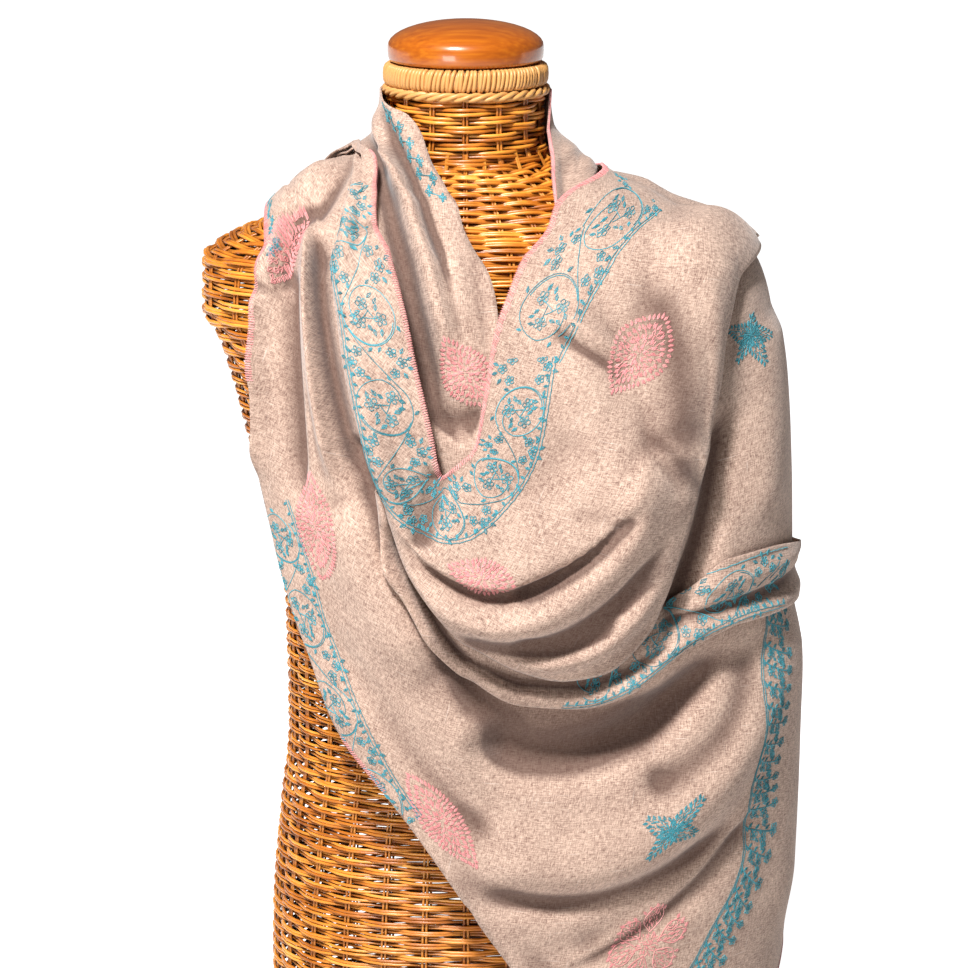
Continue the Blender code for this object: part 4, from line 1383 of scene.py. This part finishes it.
needle = {
    "teal": ((0.075, 0.42, 0.50, 1.0), (0.012, 0.135, 0.17, 1.0)),
    "pink": ((0.86, 0.40, 0.38, 1.0), (0.64, 0.19, 0.20, 1.0)),
    "radius": {"teal": 0.34, "pink": 0.34, "hem": 0.38},
    "threadLift": 0.18,
    "hemPitch": 1.7,
    "hemReach": 4.0,
}


def turned(points, angle):
    cosine, sine = math.cos(angle), math.sin(angle)
    return points @ np.array(((cosine, sine), (-sine, cosine)))


def leafLoop(start, angle, length, width):
    # a small leaf: its outline and its rib
    outline = np.array(((0.0, 0.0), (0.45, 0.5), (1.0, 0.0), (0.45, -0.5), (0.0, 0.0))) * (length, width)
    rib = np.array(((0.1, 0.0), (0.8, 0.0))) * (length, width)
    return [turned(outline, angle) + start, turned(rib, angle) + start]


def heading(angle):
    return np.array((math.cos(angle), math.sin(angle)))


def arc(centre, radius, start, end, steps=10):
    angles = np.linspace(start, end, steps + 1)
    return np.stack((np.cos(angles), np.sin(angles)), -1) * radius + centre


def blossom(centre, radius, seed):
    # five round petals about a round eye
    strokes = [arc(centre, radius * 0.2, 0.0, tau, 4)]
    twist = unevenness(seed, 2.0)
    for petal in range(5):
        angle = tau * (petal + twist) / 5
        size = radius * (0.33 + 0.05 * unevenness(petal, seed))
        strokes.append(arc(centre + heading(angle) * radius * 0.62, size, angle, angle + tau, 5))
    return strokes


def vineLink(start, leaving, end, arriving, steps=8):
    # a soft stalk from one place to the next, along the headings given
    part = np.linspace(0.0, 1.0, steps + 1)[:, None]
    return hermite(start, np.array(leaving), end, np.array(arriving), part)


def hemLines(length, offsets, step, speed, swing):
    # long stitched lines with a slight waver
    along = np.arange(1.0, length - 1.0, step)
    return [np.stack((along, offset + swing * np.sin(along * speed + offset)), -1) for offset in offsets]


def roundelBorder(length, width, period, seed, closed=False):
    # one winding stalk that curls into a ring in turn on each side, with blossoms in the rings and corners
    strokes = hemLines(length, (0.0, 2.2) + ((width + 2.5,) if closed else ()), 3.0, 0.9, 0.25)
    for place in np.arange(3.0, length - 3.0, 6.5):
        strokes += leafLoop(np.array((place, 2.6)), 0.9 + 0.8 * unevenness(place, seed), 3.0, 1.6)
    middle, radius = width * 0.53, min(width * 0.44, period * 0.37)
    quarter = math.pi / 2
    for repeat in range(int(length / period) + 1):
        name = seed + repeat * 11.0
        flip = 1 if repeat % 2 else -1
        centre = np.array(((repeat + 0.5) * period, middle + 0.05 * width * (unevenness(name, 6.0) - 0.5)))
        size = radius * (0.94 + 0.1 * unevenness(name, 5.0))
        entry = math.pi - 0.9 * flip
        strokes.append(arc(centre, size, entry, entry - flip * 5.5, 26))
        strokes.append(arc(centre + (0.6, 0.3 * flip), size * 0.93, entry - flip * 1.2, entry - flip * 3.6))
        # the ring's end curls inwards, and a link leads on to the next ring
        curl = size * np.linspace(1.0, 0.5, 9)[:, None]
        strokes.append(arc(centre, curl, entry - flip * 5.5, entry - flip * 7.4, 8))
        leave, into = flip * 1.0, math.pi + 0.9 * flip
        last = np.array(((repeat + 1.5) * period, middle))
        pull = size * 1.4
        strokes.append(vineLink(centre + size * heading(leave), pull * heading(leave - flip * quarter),
                                last + radius * heading(into), pull * heading(into + flip * quarter)))
        base = tau * unevenness(name, 7.0)
        for spray in range(3):
            angle = base + tau * spray / 3 + 0.4 * unevenness(spray, name)
            place = centre + heading(angle) * size * (0.44 + 0.06 * unevenness(spray, name + 4))
            strokes += blossom(place, 3.9 + 0.7 * unevenness(spray, name + 1), name + spray)
            strokes.append(vineLink(centre - 3.0 * heading(angle + 0.8), 3.0 * heading(angle),
                                    place - 1.5 * heading(angle), 3.0 * heading(angle + 0.6), 3))
            for leaf in range(3):
                turn = angle + 0.75 + 0.5 * leaf
                root = centre + heading(turn) * size * (0.34 + 0.14 * leaf)
                strokes += leafLoop(root, turn + 0.9 - 0.9 * leaf, 4.2, 2.1)
        corner = (repeat + 1.0) * period
        for side in (1, -1):
            level = middle + side * size * 0.80
            for bud in range(3):
                place = np.array((corner + (bud - 1) * 6.4, level - side * (2.6 if bud != 1 else -2.2)))
                place += 1.2 * (np.array((unevenness(bud, name + side), unevenness(bud, name + 2))) - 0.5)
                strokes += blossom(place, 3.1 + 0.5 * unevenness(bud, name), name + bud * side)
            for leaf in range(4):
                turn = side * (0.5 + 0.7 * leaf)
                root = np.array((corner, level - side * 1.0)) + heading(turn) * 7.0
                strokes += leafLoop(root, turn, 4.0, 2.0)
        for bud in range(6):
            turn = tau * bud / 6 + unevenness(bud, name + 5)
            strokes += leafLoop(centre + heading(turn) * size * 1.06, turn + 0.8 * flip, 3.6, 1.8)
    return strokes


def vineBorder(length, width, period, seed):
    # a double line, dark stalks slanting off it with leaves, and a scalloped row of blossoms
    strokes = hemLines(length, (0.0, 1.5), 3.5, 1.3, 0.2)
    for repeat in range(int(length / period) + 1):
        name = seed + repeat * 5.0
        base = (repeat + 0.3 * unevenness(name, 1.0)) * period
        foot, tip = np.array((base - period * 0.5, 1.5)), np.array((base + period * 0.35, width * 0.80))
        for shift in (0.0, 0.5):
            strokes.append(vineLink(foot + (shift, 0.0), (period * 0.9, 0.0),
                                    tip + (shift, 0.0), (0.0, width * 0.7), 5))
        for bud in range(2):
            level = 0.34 + 0.34 * bud
            spot = foot * (1 - level) + tip * level + (period * 0.42, -width * 0.06)
            strokes += blossom(spot, 3.2 + 0.4 * unevenness(bud, name), name + bud + 2)
            strokes += leafLoop(spot + (2.6, 2.0), 0.8, 3.6, 1.8)
        strokes += blossom(tip, 3.6, name)
        strokes += blossom(tip + (-period * 0.5, -width * 0.26), 2.8, name + 1)
        for leaf in range(6):
            part = 0.15 + 0.13 * leaf
            root = foot * (1 - part) + tip * part + (0.0, -width * 0.16 * math.sin(math.pi * part))
            lean = 0.9 + (1.0 if leaf % 2 else -0.9) + 0.4 * unevenness(leaf, name)
            strokes += leafLoop(root, lean, 3.8, 1.8)
    return strokes


def budBorder(length, width, period, seed):
    # small blossoms in turn on both sides of a fine stalk
    strokes = []
    pull = (period, 0.0)
    spots = [np.array((place, width * (0.72 if number % 2 else 0.28) + unevenness(number, seed) - 0.5))
             for number, place in enumerate(np.arange(period * 0.5, length, period))]
    for number, spot in enumerate(spots):
        strokes += blossom(spot, min(2.8, width * 0.24), seed + number)
        strokes += leafLoop(spot + (2.4, 0.4), 0.5, 3.0, 1.6) + leafLoop(spot - (2.2, 0.6), 3.6, 2.8, 1.5)
        if number:
            strokes.append(vineLink(spots[number - 1], pull, spot, pull, 4))
    return strokes


def filledWith(outline, spacing, reach, seed):
    # short slanting stitches spread over the inside of an outline
    low, high = outline.min(axis=0), outline.max(axis=0)
    across = np.arange(low[0], high[0], spacing)
    up = np.arange(low[1], high[1], spacing * 0.9)
    spots = np.stack(np.meshgrid(across, up), -1).reshape(-1, 2)
    number = np.arange(len(spots), dtype=float)
    moves = np.stack((unevenness(number, seed), unevenness(number, seed + 1)), -1)
    spots = spots + spacing * 0.8 * moves
    start, end = outline, np.roll(outline, -1, axis=0)
    crossing = (start[:, 1] > spots[:, 1:2]) != (end[:, 1] > spots[:, 1:2])
    rise = np.where(end[:, 1] == start[:, 1], 1e-9, end[:, 1] - start[:, 1])
    reached = (end[:, 0] - start[:, 0]) * (spots[:, 1:2] - start[:, 1]) / rise + start[:, 0]
    inside = np.sum(crossing & (spots[:, 0:1] < reached), axis=1) % 2 == 1
    strokes = []
    for spot, turn in zip(spots[inside], unevenness(number, seed + 2)[inside]):
        half = heading(math.atan2(spot[1], spot[0]) + 1.2 * (turn - 0.5)) * reach / 2
        strokes.append(np.stack((spot - half, spot + half)))
    return strokes


def almondOutline(length, width, steps=30):
    # pointed at both ends, fullest nearer its head
    part = np.linspace(0.0, 1.0, steps // 2 + 1)
    side = width / 2 * np.sin(math.pi * part ** 1.15) ** 0.85
    upper = np.stack((part * length - length * 0.5, side), -1)
    return np.concatenate((upper, (upper * (1, -1))[::-1][1:-1]))


def almond(centre, length, width, angle, seed):
    # a mango-shaped spray: rows of small leaves one inside another about a filled heart
    outline = almondOutline(length, width)
    strokes = filledWith(outline * 0.80, 2.7, 2.6, seed)
    closed = np.concatenate((outline, outline[:1]))
    for ring, share in enumerate((1.0, 0.74, 0.46, 0.2)):
        lengths = lengthsAlong(closed) * share
        for place in np.arange(0.0, lengths[-1], 2.9 + 0.4 * ring):
            spot = readAlong(closed, lengths, place) * share
            lean = math.atan2(spot[1] * 2.4, spot[0]) + 0.9 * (unevenness(place, seed + ring) - 0.5)
            strokes += leafLoop(spot * 0.97 - heading(lean), lean, 3.2 + 0.9 * unevenness(place, seed), 1.6)
    return [turned(stroke, angle) + centre for stroke in strokes]


def posy(centre, radius, seed):
    # a round flower of looped petals, one loop inside another, about a heart of small stitches
    strokes = filledWith(arc(np.zeros(2), radius * 0.3, 0.0, tau, 12), 2.2, 2.4, seed)
    for petal in range(6):
        turn = tau * (petal + 0.3 * unevenness(petal, seed)) / 6
        petalShape = almondOutline(radius * 0.72, radius * 0.56, 16) + (radius * 0.64, 0.0)
        strokes.append(turned(np.concatenate((petalShape, petalShape[:1])), turn))
        inside = filledWith(petalShape * 0.9 + (radius * 0.06, 0.0), 2.4, 2.4, seed + petal)
        strokes += [turned(stroke, turn) for stroke in inside]
        for leaf in range(5):
            lean = turn + 0.17 * (leaf - 2)
            strokes += leafLoop(heading(lean) * radius * (0.94 - 0.05 * abs(leaf - 2)), lean + 0.5, 3.4, 1.7)
    return [stroke + centre for stroke in strokes]


def star(centre, tips, width, seed):
    # pointed arms of close stitches edged with small leaves
    strokes = []
    for number, tip in enumerate(tips):
        reach = tip - centre
        length, turn = np.linalg.norm(reach), math.atan2(reach[1], reach[0])
        outline = np.array(((-0.15, -0.5), (0.35, -0.4), (1.0, 0.0), (0.35, 0.4), (-0.15, 0.5)))
        arm = filledWith(outline * (length, width), 2.0, 2.4, seed + number)
        for place in np.arange(0.1, 0.95, 3.4 / length):
            half = width * 0.5 * min(1.0, (1.0 - place) * 1.4)
            for side in (-1, 1):
                arm += leafLoop(np.array((place * length, side * half * 0.8)), side * 0.5, 3.2, 1.6)
        strokes += [turned(stroke, turn) + centre for stroke in arm]
    return strokes


def laidStrokes(cloth, strokes):
    # the stretches of each stroke that lie on the cloth, as lines of points
    spots, good = cloth.find(np.concatenate(strokes))
    points = cloth.lay(spots, needle["threadLift"])
    ends = np.cumsum([len(stroke) for stroke in strokes])[:-1]
    lines = []
    for line, kept in zip(np.split(points, ends), np.split(good, ends)):
        for run in np.split(np.arange(len(line)), np.flatnonzero(~kept)):
            run = run[kept[run]]
            if len(run) > 1:
                lines.append(line[run])
    return lines


def hemStitches(cloth, side, first, last, seed):
    # overcast stitches over an edge, slanting a little
    edge, inward = (0, 1) if side == "near" else (cloth.columns, -1)
    lengths = lengthsAlong(cloth.points[:, edge])
    every = np.arange(cloth.rows + 1)
    low, high = (np.interp(cloth.sections[section], every, lengths) for section in (first, last))
    places = np.arange(low + 0.4, high - 0.4, needle["hemPitch"])
    rows = np.interp(places, lengths, every)
    cells = np.linalg.norm(np.diff(cloth.points, axis=1), axis=2).mean(axis=1)
    cells = np.interp(rows, every, cells)
    lines = []
    for number, (row, cell) in enumerate(zip(rows, cells)):
        reach = needle["hemReach"] * (0.85 + 0.3 * unevenness(number, seed))
        inner = edge + inward * reach / max(cell, 0.4)
        spots = np.array(((row + 0.2, inner), (row, edge)))
        spots = np.clip(spots, 0.0, (cloth.rows, cloth.columns))
        inside, rim = cloth.sample(cloth.points, spots)
        normal = cloth.sample(cloth.normals, spots)[1]
        outward = unit(rim - inside, 1e-6)
        lines.append(np.array((inside + normal * 0.1, rim + outward * 0.05 + normal * 0.35,
                               rim + outward * 0.5 - normal * drape["wall"] * 0.7)))
    return lines


# each motif: stretch, kind, width, side and its places: an almond's two ends, a star's heart and tips, or
# a posy's heart
motifs = (
    ("shawl_left_fall", "almond", 14, front, ((-130, 641), (-109, 681))),
    ("shawl_left_fall", "almond", 31, front, ((-105, 516), (-98, 443))),
    ("shawl_left_fall", "almond", 25, front, ((9, 244), (-40, 308))),
    ("shawl_left_fall", "star", 13, front, ((144, 268), (165, 290), (122, 276), (128, 249), (162, 263))),
    ("shawl_left_fall", "posy", 56, front, ((126, 178),)),
    ("shawl_right_fall", "star", 12, front, ((196, 599), (180, 608), (213, 597), (198, 615), (209, 580),
                                             (186, 585))),
    ("shawl_cowl", "almond", 42, front, ((98, 577), (136, 624))),
    ("shawl_cowl", "almond", 22, front, ((-10, 467), (33, 453))),
    ("shawl_neck_drape", "almond", 30, front, ((-14, 612), (14, 566))),
    ("shawl_back_wrap", "almond", 34, back, ((48, 560), (76, 612))),
    ("shawl_back_wrap", "star", 12, back, ((-20, 570), (-40, 585), (0, 584), (-36, 552), (-2, 553))),
    ("shawl_back_fall", "almond", 30, back, ((140, 430), (140, 370))),
    ("shawl_back_fall", "star", 13, back, ((50, 350), (28, 366), (72, 366), (32, 330), (68, 330))),
    ("shawl_back_fall", "almond", 30, back, ((-40, 430), (-40, 370))),
)
# each border: stretch, pattern, width, period, and its line: an edge with two sections and the distance
# inward, or places seen from one side with the side that its hem is on
borders = (
    ("shawl_cowl", "roundels", 36, 53, ("near", 1, 15, 43)),
    ("shawl_cowl", "roundels", 44, 53,
     (front, 1.0, ((61, 590), (67, 603), (74, 616), (85, 636), (97, 656), (115, 674), (137, 685)))),
    ("shawl_back_wrap", "buds", 11, 9, ("near", 1, 8, 14)),
    ("shawl_left_fall", "roundels", 38, 53,
     (front, -1.0, ((-122, 500), (-111, 466), (-102, 438), (-93, 409), (-83, 381), (-71, 352), (-59, 325),
                    (-45, 298), (-26, 274)))),
    ("shawl_left_fall", "vine", 34, 13,
     (front, 1.0, ((211, 410), (210, 388), (209, 344), (205, 301), (200, 273), (197, 236), (190, 208),
                   (176, 185), (163, 161), (146, 138)))),
    ("shawl_left_fall", "buds", 8, 8, ("near", 1, 2, 12)),
    ("shawl_lower_roll", "band", 37, 48,
     (front, 1.0, ((62, 358), (82, 359), (101, 365), (120, 374),
                   (147, 393), (168, 404), (199, 409), (226, 406)))),
    ("shawl_neck_drape", "buds", 16, 7.5,
     (front, -1.0, ((-54, 762), (-46, 752), (-36, 738), (-26, 722), (-14, 704), (-7, 690)))),
    ("shawl_back_fall", "roundels", 36, 53, ("far", 0, 6, 45)),
)
# each hem: stretch, edge, first and last section
hems = (
    ("shawl_left_fall", "near", 0, 4),
    ("shawl_left_fall", "near", 10, 11),
    ("shawl_left_fall", "far", 14, 25),
    ("shawl_cowl", "near", 1, 21),
    ("shawl_back_wrap", "near", 0, 7),
    ("shawl_neck_drape", "near", 12, 17),
    ("shawl_back_fall", "far", 0, 6),
)


def borderStrokes(cloth, name, pattern, width, period, line):
    guide = cloth.edgeGuide(*line) if line[0] in ("near", "far") else cloth.guide(*line)
    length = guide.lengths[-1]
    seed = len(name) + width
    if pattern == "vine":
        drawn = vineBorder(length, width, period, seed)
    elif pattern == "buds":
        drawn = budBorder(length, width, period, seed)
    else:
        drawn = roundelBorder(length, width, period, seed, pattern == "band")
    return guide.lay([stroke for stroke in drawn if stroke[:, 0].min() > 0 and stroke[:, 0].max() < length])


def motifStrokes(cloth, kind, width, side, places, number):
    spots = [cloth.plane[cloth.nearest(x, z, side)] for x, z in places]
    if kind == "star":
        return star(spots[0], spots[1:], width, number)
    if kind == "posy":
        return posy(spots[0], width / 2, number)
    axis = spots[1] - spots[0]
    length, turn = np.linalg.norm(axis), math.atan2(axis[1], axis[0])
    return almond((spots[0] + spots[1]) / 2, length, width, turn, number)


def embroider(cloth, name, slots):
    # every border, motif and hem of one stretch, as one piece of thread for each color
    lines = {"teal": [], "pink": [], "hem": []}
    for stretch, *border in borders:
        if stretch == name:
            lines["teal"] += laidStrokes(cloth, borderStrokes(cloth, name, *border))
    for number, (stretch, kind, *motif) in enumerate(motifs):
        if stretch == name:
            strokes = motifStrokes(cloth, kind, *motif, number)
            lines["teal" if kind == "star" else "pink"] += laidStrokes(cloth, strokes)
    for number, (stretch, *hem) in enumerate(hems):
        if stretch == name:
            lines["hem"] += hemStitches(cloth, *hem, number)
    threads = []
    for color, found in lines.items():
        if found:
            piece = addStrands(name.replace("shawl_", color + "_"), found, needle["radius"][color],
                               4, slots[color], False)
            threads.append(finishPiece(piece))
    return threads


def declareSheet(cloth, threads):
    # works out the cloth's own area, which is then not used
    steps = np.cross(np.diff(cloth.points, axis=0)[:, :-1], np.diff(cloth.points, axis=1)[:-1])
    area = float(np.linalg.norm(steps, axis=-1).sum()) * mm * mm


addStudio()
addWicker(Rings(form["rings"]))
addRim()
addCap()
dressBase()
print("shaping the cloth")
cloths = {
    "shawl_left_fall": Cloth(leftFall, fallHeight),
    "shawl_right_fall": Cloth(rightFall, fallHeight),
    "shawl_lower_roll": Cloth(lowerRoll, rollHeight),
    "shawl_cowl": Cloth(cowl, cowlHeight),
    "shawl_back_wrap": Cloth(backWrap, cowlHeight),
    "shawl_back_fall": Cloth(backFall, backHeight),
    "shawl_neck_drape": Cloth(neckDrape, neckHeight),
}
print("sewing the borders and motifs")
woolSlot = woolMaterial()
pinkSlot = threadMaterial("pinkThread", *needle["pink"])
threadSlots = {"teal": threadMaterial("tealThread", *needle["teal"]), "pink": pinkSlot, "hem": pinkSlot}
for name, cloth in cloths.items():
    piece = addCloth(name.replace("shawl_", "cloth_"), cloth, woolSlot, name)
    declareSheet(cloth, embroider(cloth, name, threadSlots))
